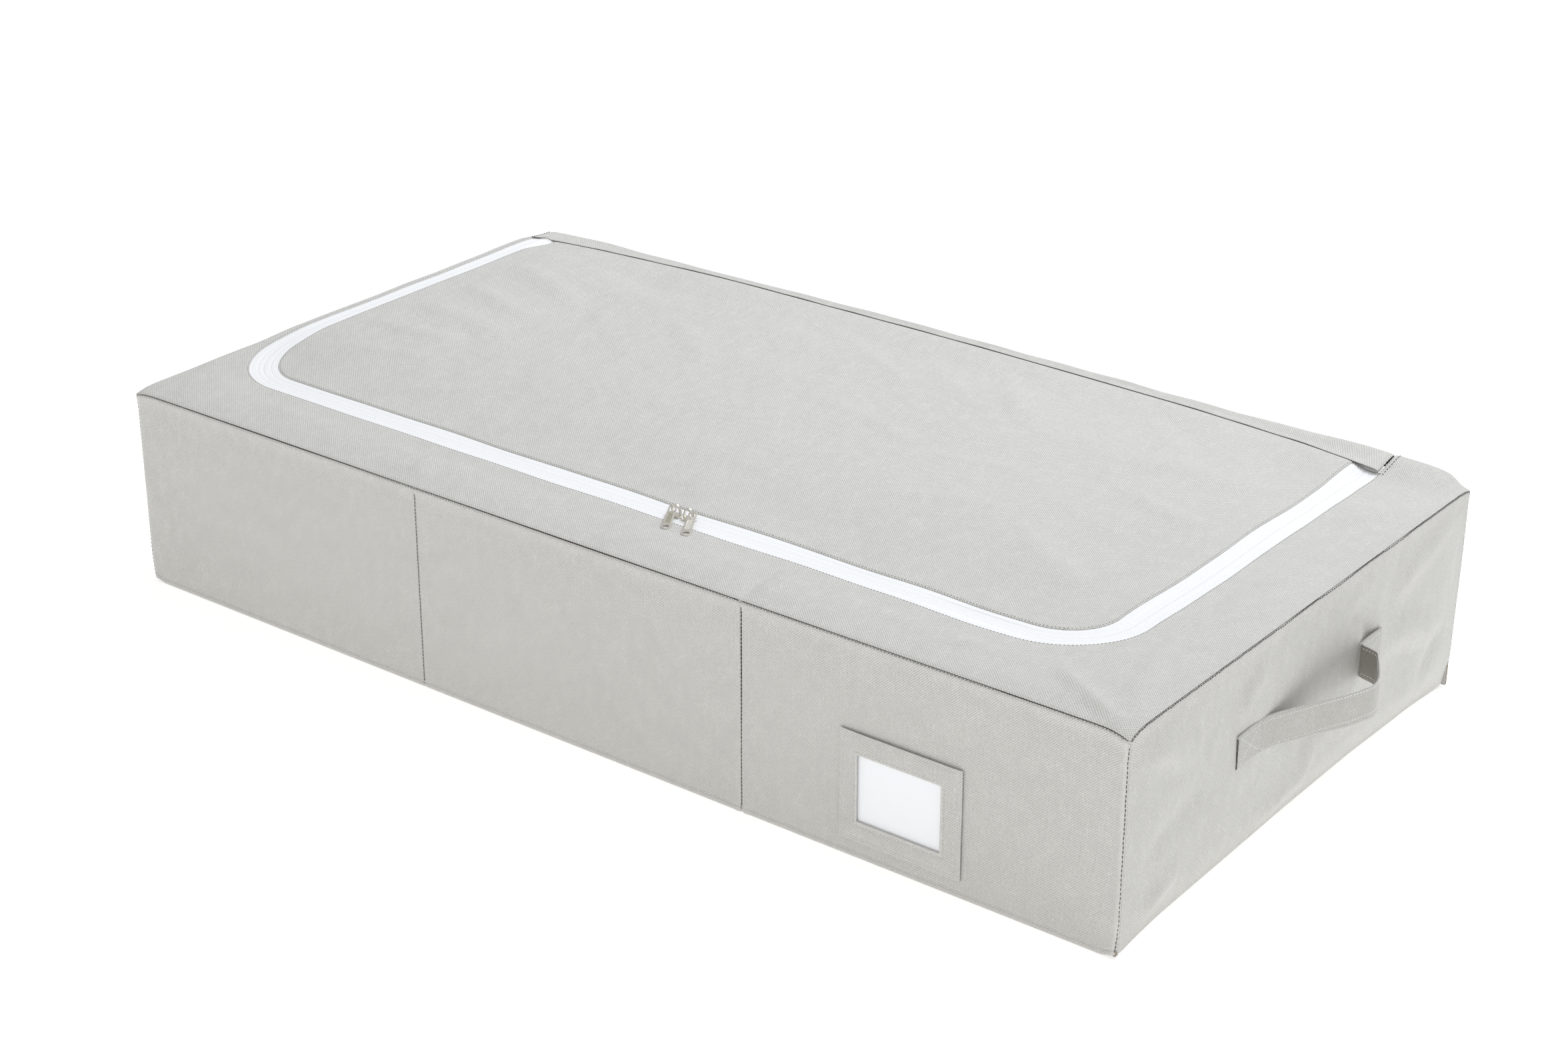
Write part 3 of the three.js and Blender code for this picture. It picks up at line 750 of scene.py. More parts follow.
def make_back_strip():
    """The fold of fabric from the lid's seam over the back edge, puffed up along the back."""
    x = np.linspace(STRIP_X0 - 1, STRIP_X1 + 3, 260)
    front, foot = seam_y(x) + 0.5 * ripples(x, 0 * x, 60, 23), seam_rise(x)
    roll = back_roll(x) + 0.5 * ripples(x, 0 * x, 80, 21)
    crest = np.maximum(front + 3.5, ROLL_CREST)
    # the folded edge at the seam, then the slope up to the crest, then the round down to the wall
    rows = [stack(x, front + dy, TOP + foot + dz)
            for dy, dz in ((4, 0.1), (1.3, 0.15), (0.2, 0.3), (0, 0.6), (0.4, 0.95), (1.5, 1.1))]
    for t in np.linspace(0, 1, 10)[1:]:
        share = t * t * (3 - 2 * t)
        dent = 0.7 * np.sin(math.pi * t) * ripples(x, 0 * x + 40 * t, 70, 24) * smooth(crest - front, 4, 16)
        height = (foot + 1.1) * (1 - share) + roll * share + dent
        rows.append(stack(x, front + 1.5 + (crest - front - 1.5) * t, TOP + height))
    for t in np.linspace(0.12, 1, 9):
        down = math.cos(t * math.pi / 2) ** 0.8
        y = crest + (HALF_W + 0.5 - crest) * math.sin(t * math.pi / 2)
        rows.append(stack(x, y, TOP + roll * down - 1.6 * t))
    points = np.array(rows)
    points[..., 2] -= 0.9 * (1 - smooth(np.minimum(x - x[0], x[-1] - x), 0, 3.5))
    run = run_along(points[:, 30])
    flat = stack(x[None, :], HALF_W + run[:, None])
    strip = cloth("back_strip_fabric", points, flat, FABRIC_GREY, (0, 0, 1), thick=0.8)
    finer = strip.modifiers.new("finer", "SUBSURF")
    finer.levels = finer.render_levels = 1
    settle(strip)
    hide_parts("back_strip")
    bend_at_hinge(strip)


TAPE_RIBS = (2.6, 4.0, 7.4, 8.8)      # lengthwise ribs, from the centre line


def tape_rows():
    """Distances from the centre line at which a tape has points, closer together at its ribs."""
    rows = [0.06, 0.2, 0.6, 1.5]
    for rib in TAPE_RIBS:
        rows += [rib - 0.5, rib - 0.2, rib + 0.2, rib + 0.5]
    return np.array(rows + [10.4, 12.2, 14, TAPE_REACH])


def make_tape(name, side, body, node):
    """Half of the zip tape, with its ribs. side is +1 for the rim and -1 for the lid."""
    rows = tape_rows()
    points, flats = [], []
    for q, rib in zip(rows, sum(bell(rows, centre, 0.55) for centre in TAPE_RIBS)):
        plan, _ = zip_path(side * q, ZIP_BACK)
        lift = TAPE_TOP - TOP + 0.24 * rib - 0.08 * (1 - smooth(q, 0.05, 0.5)) - 0.25 * smooth(q, 13, 15)
        points.append(top_point(plan[:, 0], plan[:, 1], lift))
        flats.append(stack(run_along(plan), q))
    tape = cloth(name, np.array(points), np.array(flats), TAPE_WHITE, (0, 0, 1), thick=0.55)
    return ride(tape, body, "zip_tape", node)


def make_coil(name, side, body, node):
    """Half of the nylon coil: one flattened loop of thread a turn, under the edge of its tape."""
    pitch, loop, corners = 2.0, 8, 4
    centre, half_wide, half_high, lean = side * 1.75, 1.15, 0.72, 0.35
    plan, _ = zip_path(centre, ZIP_BACK - 1, 1.0, 90)
    middle_z = (COIL_LOW + COIL_HIGH) / 2 - TOP
    line, _ = resample(top_point(plan[:, 0], plan[:, 1], middle_z), pitch)
    points, faces = [], []
    for i in range(1, len(line) - 1):
        p = Vector(line[i])
        ahead = (Vector(line[i + 1]) - Vector(line[i - 1])).normalized()
        across = ahead.cross(Vector((0, 0, 1))).normalized()
        base = len(points)
        for k in range(loop):
            a = 2 * math.pi * k / loop
            turn = p + across * half_wide * math.cos(a) + Vector((0, 0, half_high * math.sin(a)))
            turn += ahead * (lean * math.sin(a))
            out = (turn - p).normalized()
            after = (k + 1) % loop
            for j in range(corners):
                b = math.pi / 4 + math.pi * j / 2
                points.append(turn + out * 0.3 * math.cos(b) + ahead * 0.42 * math.sin(b))
                beside = (j + 1) % corners
                faces.append((base + corners * k + j, base + corners * after + j,
                              base + corners * after + beside, base + corners * k + beside))
    return ride(make_object(name, points, faces, COIL_WHITE), body, "zip_coil", node)


def make_top_sewing():
    """Stitches that hold the tapes, and the seams across the ends of the back strip."""
    for name, side, body, back in (("rim", 1, "box", HALF_W - 8), ("lid", -1, "lid", LID_BACK - 12)):
        sewing = Sewing(31 + side)
        plan, _ = zip_path(side * (TAPE_SHOWING + 1.2), back, 2.0)
        sewing.line(top_point(plan[:, 0], plan[:, 1], -0.3), (0, 0, 1), 1.8, 1.2, 0.2)
        ride(sewing.piece(f"{name}_zip_stitches", THREAD_GREY), body, "fabric_grey")
    sewing = Sewing(41)
    for x in (STRIP_X0 - 1.2, STRIP_X1 + 4.2):
        ys = np.linspace(seam_y(x) - 1, HALF_W - 1, 24)
        sewing.line(top_point(0 * ys + x, ys, 0.2), (0, 0, 1), 1.8, 1.7, 0.3)
    for x0, x1 in ((ZIP_RIGHT - 13, ZIP_RIGHT + 15), (ZIP_LEFT - 13, ZIP_LEFT + 13)):
        xs = np.linspace(x0, x1, 20)
        sewing.zigzag(top_point(xs, seam_y(xs) - 1.2, 0.1), (0, 0, 1), 1.8, 1.4)
    # near-black thread across the back strip's ends: painted shade in the stitch pits
    ride(sewing.piece("hinge_seam_shade_stitches", THREAD_PAINTED_SHADE), "box", "fabric_grey")


# ---- walls and base -----------------------------------------------------------------------------

def wall_lines(half, gap=4.0, extra=()):
    """Places along a wall, closer together beside its ends and its seams."""
    places = list(np.arange(-half + 12, half - 11.9, gap))
    places += [s * (half - d) for s in (-1, 1) for d in (0, 0.4, 0.9, 1.5, 2.2, 3.0, 4, 6, 8.5)]
    for centre in extra:
        places += [centre + d for d in (-3, -2, -1.4, -0.9, -0.45, 0, 0.45, 0.9, 1.4, 2, 3)]
    return np.array(sorted(set(round(p, 3) for p in places)))


WALL_ROWS = np.concatenate([[0, 0.6, 1.2, 2.2, 3.4, 4.4, 5.0, 5.6, 6.4, 8], np.linspace(11, 166, 40),
                            [169, 172, 174.5, 176.5, 178, 179.2, 180, WALL_TOP - 0.4]])

# How far each end wall's foot is tucked in, along Y.
TUCK_Y = (-270, -256, -240, -224, -189, -105, 0, 105, 198, 246, 270)
TUCK_RIGHT = (2.5, 2.8, 4.5, 6, 8, 9.5, 11.5, 12, 9.5, 4.5, 2.5)
TUCK_LEFT = (2, 3, 4, 5, 6, 7, 8, 8, 7, 4, 3)


def side_tuck(y, z, side):
    """How far the soft end walls pull in towards the floor: little at the front, more behind."""
    reach = soft_line(y, TUCK_Y, TUCK_RIGHT if side > 0 else TUCK_LEFT, 10)
    tuck = reach * (1 - np.clip(z / 32, 0, 1)) ** 1.5
    lean = 2.0 * smooth(y, 170, 260) * (1 - smooth(z, 0, 150))
    return tuck + lean


def end_wall_x(y, z, side):
    """The outer face of an end wall, as a distance from the middle of the box."""
    rim = np.minimum(HALF_W - np.abs(y), 40)
    room = smooth(rim, 2, 38) * smooth(z, 0, 40) * (1 - smooth(z, 150, 180))
    soft = 1.5 * ripples(y, z, 150, 51 + side) + 0.8 * ripples(y, z, 60, 53 + side, 1.8, 1.1)
    soft = soft + 0.22 * ripples(y, z, 24, 57 + side, 1.5, 0.8)
    folds = 2.6 * creases(y, z, END_CREASES) * smooth(rim, 1, 12)
    flare = 0.9 * smooth(z, 168, 179)
    return HALF_L + room * (0.6 + soft) + folds + flare - side_tuck(y, z, side)


END_CREASES = [
    ((-250, 160), (-150, 110), 12, 1.6, 8), ((-245, 60), (-130, 90), 12, -1.2, 6),
    ((-110, 118), (-60, 160), 9, 1.4, 4), ((60, 150), (110, 100), 12, -1.8, 6),
    ((120, 96), (235, 60), 14, 1.6, 8), ((120, 120), (250, 165), 12, 1.4, 6),
    ((-20, 30), (70, 70), 14, 1.2, 8), ((190, 20), (245, 70), 12, -1.4, 6),
    ((-240, 12), (-170, 42), 10, 1.4, 5), ((-70, 12), (20, 36), 11, 1.2, 6),
]


def make_long_wall(name, side):
    """The front (side -1) or back (side +1) fabric: flat over its boards, with fold seams and a hem."""
    xs = wall_lines(HALF_L, 4.0, (FOLD_LEFT, FOLD_RIGHT))
    x, z = np.meshgrid(xs, WALL_ROWS)
    # it stays flat under the label pocket
    pocket = smooth(x, 225, 250) * (1 - smooth(x, 378, 405)) if side < 0 else 0 * x
    third = np.abs(np.sin(np.pi * np.clip((x + HALF_L) / 333.3, 0, 3)))
    out = (0.7 * third + 0.22 * ripples(x, z, 120, 61 + side)) * (1 - pocket) * smooth(z, 3, 30)
    out = out + 1.3 * smooth(z, 170, 179.5)
    narrow = 0.75 + 0.45 * z / 180
    out = out - 0.75 * bell(x, FOLD_LEFT, 1.3) - 1.7 * bell(x, FOLD_RIGHT, 1.5 * narrow)
    out = out + 0.5 * bell(np.abs(x - FOLD_RIGHT), 4.5, 3.5) * (1 - pocket)
    # hem: a second layer along the floor, with a stitched groove over it
    out = out - 0.45 * bell(z, 5.3, 0.9) + 0.35 * (1 - smooth(z, 4.2, 5.2)) * smooth(z, 0, 1.5)
    from_end = HALF_L - np.abs(x)
    out = out - edge_inset(from_end) - edge_inset(WALL_TOP - z, 1.7, 1.2) - 0.8 * (1 - smooth(z, 0, 1.6))
    # its ends follow the end walls, which are tucked in below
    y_end = side * HALF_W + 0 * z
    shift = np.where(x > 0, -side_tuck(y_end, z, 1), side_tuck(y_end, z, -1)) * smooth(np.abs(x), 440, 500)
    droop = corner_droop(x, y_end) * smooth(z, 120, WALL_TOP)
    foot = 2.5 * smooth(np.abs(x), 486, 500) * (1 - smooth(z, 0, 25))
    points = stack(x + shift, side * (HALF_W + out), z + droop + foot)
    plain = bell(from_end, 2.4, 2.2) + bell(x, FOLD_RIGHT, 3) + bell(z, 5.3, 1.2)
    flat = stack(x, z, np.clip(plain, 0, 1))
    wall = cloth(name + "_fabric", points, flat, FABRIC_GREY, (0, side, 0))
    return ride(wall, "box", "fabric_grey", name)


def make_end_wall(name, side):
    """The soft fabric of the left (side -1) or right (side +1) end."""
    ys = wall_lines(HALF_W - 0.6, 4.0)
    y, z = np.meshgrid(ys, WALL_ROWS)
    x = end_wall_x(y, z, side)
    from_edge = HALF_W - 0.6 - np.abs(y)
    x = x - edge_inset(from_edge) - edge_inset(WALL_TOP - z, 1.7, 1.2) - 0.8 * (1 - smooth(z, 0, 1.6))
    droop = corner_droop(side * HALF_L + 0 * y, y) * smooth(z, 120, WALL_TOP)
    foot = 2.5 * smooth(np.abs(y), 246, 260) * (1 - smooth(z, 0, 25))
    points = stack(side * x, y, z + droop + foot)
    wall = cloth(name + "_fabric", points, stack(y, z), FABRIC_GREY, (side, 0, 0))
    return ride(wall, "box", "fabric_grey", name)


def make_base():
    """The fabric under the boards, its corners a little off the floor."""
    rows, cols = 90, 170
    v, u = np.meshgrid(np.linspace(-1, 1, rows), np.linspace(-1, 1, cols), indexing="ij")
    y = v * (HALF_W - 1.6)
    right = HALF_L - side_tuck(y, 0 * y, 1) - 1.6
    left = HALF_L - side_tuck(y, 0 * y, -1) - 1.6
    x = np.where(u > 0, u * right, u * left)
    corner = smooth(np.abs(u), 0.965, 1) * smooth(np.abs(v), 0.93, 1)
    x, y = x * (1 - 0.008 * corner), y * (1 - 0.012 * corner)
    z = np.maximum(0.15 + 2.6 * corner + 0.15 * ripples(x, y, 90, 71), 0.05)
    base = cloth("base_fabric", stack(x, y, z), stack(x, y), FABRIC_GREY, (0, 0, -1), thick=0.8)
    return ride(base, "box", "fabric_grey", "base_panel")


def make_linings():
    """Inner fabric over the boards, drawn in along the fold seams."""
    for side, name in ((-1, "front_lining"), (1, "back_lining")):
        low, high = cad(name)
        inner_y = high.y if side < 0 else low.y
        xs = wall_lines(high.x, 6.0, (FOLD_LEFT, FOLD_RIGHT))
        zs = np.concatenate([[low.z, low.z + 2], np.linspace(low.z + 6, high.z - 3, 34), [high.z]])
        x, z = np.meshgrid(xs, zs)
        soft = 0.2 * np.abs(0.25 * ripples(x, z, 60, 81 + side) - 0.25)
        groove = 1.2 * (bell(x, FOLD_LEFT, 2.2) + bell(x, FOLD_RIGHT, 2.2))
        y = inner_y + side * (groove - 0.05 + soft)
        lining = cloth(name + "_fabric", stack(x, y, z), stack(x, z), LINING, (0, -side, 0), thick=0.7)
        ride(lining, "box", "lining", name)
    low, high = cad("base_lining")
    half_x = high.x - 22
    xs = wall_lines(half_x, 6.0, (FOLD_LEFT, FOLD_RIGHT))
    x, y = np.meshgrid(xs, np.linspace(low.y + 0.5, high.y - 0.5, 84))
    groove = bell(x, FOLD_LEFT, 2.5) + bell(x, FOLD_RIGHT, 2.5)
    z = high.z + 0.35 * np.abs(ripples(x, y, 90, 85)) - 1.3 * groove
    lining = cloth("base_lining_fabric", stack(x, y, z), stack(x, y), LINING, (0, 0, 1), thick=0.7)
    ride(lining, "box", "lining", "base_lining")


def make_wall_sewing():
    """Threads along the seams of the walls: the four corners, the rim, the folds and the hem. The near-black
    lines in the seam grooves are painted shade.
    """
    # dark: near-black lines laid in the seam grooves and stitch pits, painted shade; light: light stitches
    dark, light = Sewing(91), Sewing(92)
    z = np.linspace(5, WALL_TOP - 3, 60)
    for sx in (-1, 1):
        for sy in (-1, 1):
            x = end_wall_x(sy * HALF_W + 0 * z, z, sx) - 1.0
            droop = corner_droop(sx * HALF_L, sy * HALF_W) * smooth(z, 120, WALL_TOP)
            path = stack(sx * x, sy * (HALF_W - 1.0), z + droop)
            dark.line(path, (sx * 0.7, sy * 0.7, 0), 3.4, 0.3, 0.34, 0.12)
            light.line(path + (sx * 0.9, sy * -2.4, 0), (sx, 0, 0), 1.7, 1.4, 0.3, 0.1)
    y = np.linspace(-HALF_W + 2, HALF_W - 2, 240)
    for sx in (-1, 1):
        wave = 0.5 * ripples(y, 0 * y, 70, 95)
        drop = corner_droop(sx * HALF_L + 0 * y, y)
        path = stack(sx * (HALF_L + 0.55), y, WALL_TOP - 0.9 + drop + wave)
        dark.line(path, (sx * 0.8, 0, 0.6), 2.6, 0.55, 0.42, 0.22)
    x = np.linspace(-HALF_L + 2, HALF_L - 2, 400)
    for sy in (-1, 1):
        drop = corner_droop(x, sy * HALF_W + 0 * x)
        path = stack(x, sy * (HALF_W + 0.75), WALL_TOP - 0.95 + drop)
        dark.line(path, (0, sy * 0.8, 0.6), 2.4, 0.8, 0.22, 0.1)
        light.line(stack(x[4:-4], sy * (HALF_W - 0.2), 5.3), (0, sy, 0), 2.4, 1.0, 0.24, 0.04)
        dark.line(stack(x[4:-4], sy * (HALF_W - 0.1), 3.9), (0, sy, 0), 3.4, 0.2, 0.2, 0.04)
    z = np.linspace(6, WALL_TOP - 4, 50)
    for fold, depth, radius in ((FOLD_LEFT, 0.55, 0.26), (FOLD_RIGHT, 1.5, 0.45)):
        for sy in (-1, 1):
            dark.line(stack(fold, sy * (HALF_W - depth + 0.4), z), (0, sy, 0), 2.3, 0.9, radius, 0.08)
    ride(dark.piece("wall_seam_shade_stitches", THREAD_PAINTED_SHADE), "box", "fabric_grey")
    ride(light.piece("hem_stitches", THREAD), "box", "fabric_grey")


# ---- carry straps -------------------------------------------------------------------------------

# The free loop seen from above: distance out from the end wall, and y.
STRAP_ROUTE = [(0.1, -73), (1.2, -66), (7, -50), (19, -22), (31, 5), (38, 25), (38.2, 34), (35.8, 43),
               (29, 56), (19.6, 72.5), (16.5, 76.3), (11.5, 78.3), (4, 80), (0.3, 81.5)]
STRAP_THICK = 1.9
STRAP_SLACK = 2.2       # how much lower its CAD solid reaches than the strap as sewn
STITCH_INSET = 3.2


def spline(route, steps):
    """A smooth curve through every point of the route."""
    pts = [route[0], *route, route[-1]]
    line = []
    for i in range(1, len(pts) - 2):
        p0, p1, p2, p3 = (np.array(p, float) for p in pts[i - 1:i + 3])
        for t in np.arange(steps) / steps:
            line.append(0.5 * (2 * p1 + (p2 - p0) * t + (2 * p0 - 5 * p1 + 4 * p2 - p3) * t ** 2
                               + (3 * p1 - p0 - 3 * p2 + p3) * t ** 3))
    return np.array(line + [np.array(route[-1], float)])


def strap_section(low, high, half):
    """Round-edged outline of the folded strap: (out, z) pairs, with a faint dip under each stitch line."""
    middle_zs = np.linspace(low + 2.4, high - 2.4, 16)
    zs = np.concatenate([[low + 0.5, low + 1.4], middle_zs, [high - 1.4, high - 0.5]])
    dip = 0.3 * (bell(zs, low + STITCH_INSET, 1.6) + bell(zs, high - STITCH_INSET, 1.6))
    outer = [(half - d - 0.25 * (1 if z < low + 1 or z > high - 1 else 0), z) for z, d in zip(zs, dip)]
    inner = [(-h, z) for h, z in outer[::-1]]
    edge = half * 0.45
    return [*outer, (edge, high), (-edge, high), *inner, (-edge, low), (edge, low)]


def strap_piece(name, line, side, low, high, wall):
    """A folded strap along a plan line of (out, y) points, and the strap's length."""
    half = STRAP_THICK / 2
    section = strap_section(low, high, half)
    run = run_along(line)
    points, flat = [], []
    for (out, y), (t_out, t_y), s in zip(line, unit_tangents(line), run):
        wobble = 0.35 * math.sin(s / 17) + 0.2 * math.sin(s / 7.3) - 0.05 * max(out, 0)
        for across, z in section:
            points.append((side * (wall + out + across * t_y), y - across * t_out, z + wobble))
            flat.append((s, z, 0))
    n = len(section)
    obj = make_object(name, points, tube_faces(len(line), n), FABRIC_STRAP, flat)
    # the side that faces the wall gets a darker copy of the fabric: painted shade for the loop's inner face,
    # which lies in the loop's own shadow
    obj.data.materials.append(FABRIC_STRAP_PAINTED_SHADE)
    for i, face in enumerate(obj.data.polygons[:(len(line) - 1) * n]):
        k = i % n
        if section[k][0] + section[(k + 1) % n][0] < -half:
            face.material_index = 1
    with editing(obj.data) as work:
        bmesh.ops.recalc_face_normals(work, faces=work.faces)
    obj.data.set_sharp_from_angle(angle=math.radians(60))
    return obj, run[-1]


def sew_loop(sewing, line, side, wall, heights):
    """Running stitches along the loop's long edges, on both of its faces."""
    tangents = unit_tangents(line)
    half = STRAP_THICK / 2 - 0.22
    for z in heights:
        for face in (1, -1):
            path = stack(side * (wall + line[:, 0] + face * half * tangents[:, 1]),
                         line[:, 1] - face * half * tangents[:, 0], z)
            ends = list(sewing.stitch_ends(path, 2.0, 1.1))
            count = len(resample(path, sewing.FINE)[0])
            for i, (a, b) in enumerate(ends):
                share = min(int(i * 3.1 / sewing.FINE), count - 1) / count
                t = tangents[int(share * (len(line) - 1))]
                sewing.stitch(a, b, (side * face * t[1], -face * t[0], 0), 0.3)


def make_tab(node, side, wall, low, high):
    """A sewn-down end of the strap, with its box and cross of stitches."""
    front, back = (corner.y for corner in cad(node))
    line = stack(0, np.linspace(front, back, 20))
    tab, length = strap_piece(node + "_fabric", line, side, low, high, wall)
    ride(tab, "box", "fabric_grey", node)
    sewing = Sewing(111 + side)
    face = side * (wall + STRAP_THICK / 2 - 0.18)
    y0, y1, z0, z1 = front + 3.5, back - 3, low + STITCH_INSET, high - STITCH_INSET
    box_and_cross = [(y0, z0), (y1, z0), (y1, z1), (y0, z1), (y0, z0), (y1, z1), (y0, z1), (y1, z0)]
    sewing.straight_lines([(face, y, z) for y, z in box_and_cross], (side, 0, 0), 2.0, 1.1, 0.3)
    ride(sewing.piece(node + "_stitches", THREAD), "box", "fabric_grey")


def make_handle(side_name, side):
    """A carry strap: its free loop and its two ends sewn to the end wall."""
    low, high = (corner.z for corner in cad(f"{side_name}_handle_strap"))
    low += STRAP_SLACK
    wall = HALF_L + 1.3
    tabs = [f"{side_name}_handle_{end}_tab" for end in ("front", "back")]
    line = spline(STRAP_ROUTE, 8)
    loop, length = strap_piece(f"{side_name}_handle_loop", line, side, low, high, wall)
    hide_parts(f"{side_name}_handle_strap")
    sewing = Sewing(101 + side)
    sew_loop(sewing, line, side, wall, (low + STITCH_INSET, high - STITCH_INSET))
    threads = sewing.piece(f"{side_name}_handle_loop_stitches", THREAD)
    for piece in (loop, threads):
        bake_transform(piece)
    for node in tabs:
        make_tab(node, side, wall, low, high)
    # the cut edge of the front tab, dark in its own shadow
    edge = Sewing(121)
    ends = [(side * (HALF_L + 1.6), cad(tabs[0])[0].y - 0.35, z) for z in (low + 0.4, high - 0.4)]
    edge.line(ends, (side, 0, 0), 5.0, 0.02, 0.55, 0.02)
    ride(edge.piece(f"{side_name}_handle_tab_edge", THREAD_PAINTED_SHADE), "box", "fabric_grey")


# ---- label pocket -------------------------------------------------------------------------------

HEM_BAND = 2.6         # folded edge round the pocket's window


def pocket_lines(start, window_start, window_end, end):
    """Places across the pocket, closer together at its edges and round its window."""
    first = np.concatenate([[start, start + 0.5, start + 1.2], np.linspace(start + 3, window_start - 4.2, 6)])
    last = np.concatenate([np.linspace(window_end + 4.2, end - 3, 6), [end - 1.2, end - 0.5, end]])
    lip = np.array([3.2, 2.7, 2.2, 1.2, 0.5, 0])
    inside = np.linspace(window_start, window_end, 16)[1:-1]
    return np.concatenate([first, window_start - lip, inside, window_end + lip[::-1], last])


def between(places, start, end):
    """Which gaps between these places lie from start to end."""
    centres = (places[:-1] + places[1:]) / 2
    return (centres > start) & (centres < end)


def make_pocket():
    low, high = cad("label_pocket_frame")
    card_low, card_high = cad("label_card")
    wx0, wx1, wz0, wz1 = card_low.x + 7, card_high.x - 8, 33.5, 89.0
    xs, zs = pocket_lines(low.x, wx0, wx1, high.x), pocket_lines(low.z, wz0, wz1, high.z)
    x, z = np.meshgrid(xs, zs)
    # distances out from the window, and in from the three sewn edges
    ring = np.maximum(np.maximum(wx0 - x, x - wx1), np.maximum(wz0 - z, z - wz1))
    border = np.minimum(np.minimum(x - low.x, high.x - x), z - low.z)
    out = 0.25 * bell(ring, 1.2, 1.6) - 0.45 * bell(ring, HEM_BAND + 0.2, 0.9)
    out = out - 0.3 * (1 - smooth(ring, 0, 0.5))
    out = out - 0.4 * bell(border, 6.0, 1.4) - 0.5 * (1 - smooth(border, 0, 1.2))
    out = out + 0.25 * smooth(z, 96, high.z) * bell(x, (low.x + high.x) / 2, 56)
    out = out + 0.15 * ripples(x, z, 40, 121)
    sunk = 0.75 * (1 - smooth(border, 2, 12)) * smooth(ring, 3, 7)
    sunk = np.maximum(sunk, 0.5 * (1 - smooth(high.z - z, 0, 6)))
    keep = ~(between(zs, wz0, wz1)[:, None] & between(xs, wx0, wx1)[None, :])
    flat = stack(x, z, bell(ring, 1.2, 2.0))
    pocket = cloth("label_pocket_fabric", stack(x, low.y - out + sunk, z), flat, FABRIC_GREY, (0, -1, 0),
                   thick=0.5, keep=keep)
    ride(pocket, "box", "fabric_grey", "label_pocket_frame")
    sew_pocket(low, high, (wx0, wx1, wz0, wz1))
    make_window((wx0 + wx1) / 2, (wz0 + wz1) / 2)


def sew_pocket(low, high, window):
    """Stitches along the pocket's three sewn edges and round its window."""
    sewing = Sewing(131)
    seam = low.y + 0.28
    x0, x1, z0, top = low.x + 6, high.x - 6, low.z + 6, high.z - 2
    edges = [(x, seam + 0.45, z) for x, z in ((x0, top), (x0, z0), (x1, z0), (x1, top))]
    sewing.straight_lines(edges, (0, -1, 0), 2.0, 1.2, 0.38)
    d = HEM_BAND + 0.2
    x0, x1, z0, z1 = window[0] - d, window[1] + d, window[2] - d, window[3] + d
    hem = [(x, seam, z) for x, z in ((x0, z0), (x1, z0), (x1, z1), (x0, z1), (x0, z0))]
    sewing.straight_lines(hem, (0, -1, 0), 2.0, 1.2, 0.38)
    ride(sewing.piece("label_pocket_stitches", THREAD), "box", "fabric_grey")


def make_window(middle_x, middle_z):
    """Clear film with a slight belly."""
    low, high = cad("label_window")
    x, z = np.meshgrid(np.linspace(low.x, high.x, 20), np.linspace(low.z, high.z, 18))
    belly = bell(x, middle_x, 45) * bell(z, middle_z, 40)
    y = low.y - 0.05 * belly + 0.04 * ripples(x, z, 40, 141)
    film = cloth("label_window_film", stack(x, y, z), stack(x, z), CLEAR_FILM, (0, -1, 0), thick=0.25)
    ride(film, "box", "clear_film", "label_window")


def make_card():
    """A plain card with rounded corners."""
    low, high = cad("label_card")
    radius, corner_steps = 4.0, 7
    x0, x1, z0, z1 = low.x + radius, high.x - radius, low.z + radius, high.z - radius
    outline = []
    for cx, cz, start in ((x1, z1, 0), (x0, z1, 90), (x0, z0, 180), (x1, z0, 270)):
        for i in range(corner_steps):
            a = math.radians(start + 15 * i)
            outline.append((cx + radius * math.cos(a), cz + radius * math.sin(a)))
    centre = np.array([low.x + high.x, low.z + high.z]) / 2
    rings = [centre + (np.array(outline) - centre) * share for share in (1, 0.8, 0.5, 0.2)]
    points = [(px, low.y + 0.05, pz) for ring in rings for px, pz in ring]
    n = len(outline)
    faces = tube_faces(len(rings), n)[:-2] + [tuple(range(3 * n, 4 * n))]
    flat = [(px, pz, 0) for px, _, pz in points]
    card = thicken(make_object("label_card_paper", points, faces, CARD_WHITE, flat, (0, -1, 0)), 0.4)
    ride(card, "card", "card", "label_card")


# ---- metal --------------------------------------------------------------------------------------

def round_edges(obj, width):
    """Rounds the sharp edges of a metal piece."""
    bevel = obj.modifiers.new("round", "BEVEL")
    bevel.width = width * MM
    bevel.segments = 3
    bevel.limit_method = "ANGLE"
    bevel.angle_limit = math.radians(40)
    shade_smooth(obj.data)
    settle(obj, 40)


def softened_copy(node, name, width, body):
    """The CAD solid of a small metal piece with its edges rounded."""
    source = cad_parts[node]
    obj = bpy.data.objects.new(name, source.data.copy())
    obj.data.materials.clear()
    obj.data.materials.append(NICKEL)
    scene.collection.objects.link(obj)
    with editing(obj.data) as work:
        bmesh.ops.remove_doubles(work, verts=work.verts, dist=0.00001)
        bmesh.ops.dissolve_limit(work, angle_limit=math.radians(2), verts=work.verts, edges=work.edges)
    round_edges(obj, width)
    return ride(obj, body, "nickel", node)


def pull_outline():
    """Outline of the pull in its own plane: square head, straight sides, round tip."""
    tip, side, top, corner = PULL["tip"], PULL["head"], PULL["behind"], 1.0
    points = []
    for i in range(25):
        a = math.pi + math.pi * i / 24
        points.append((tip * math.cos(a), -PULL["reach"] + tip * math.sin(a)))
    for centre, start in ((side - corner, 0), (corner - side, 90)):
        for i in range(7):
            a = math.radians(start + 15 * i)
            points.append((centre + corner * math.cos(a), top - corner + corner * math.sin(a)))
    return points


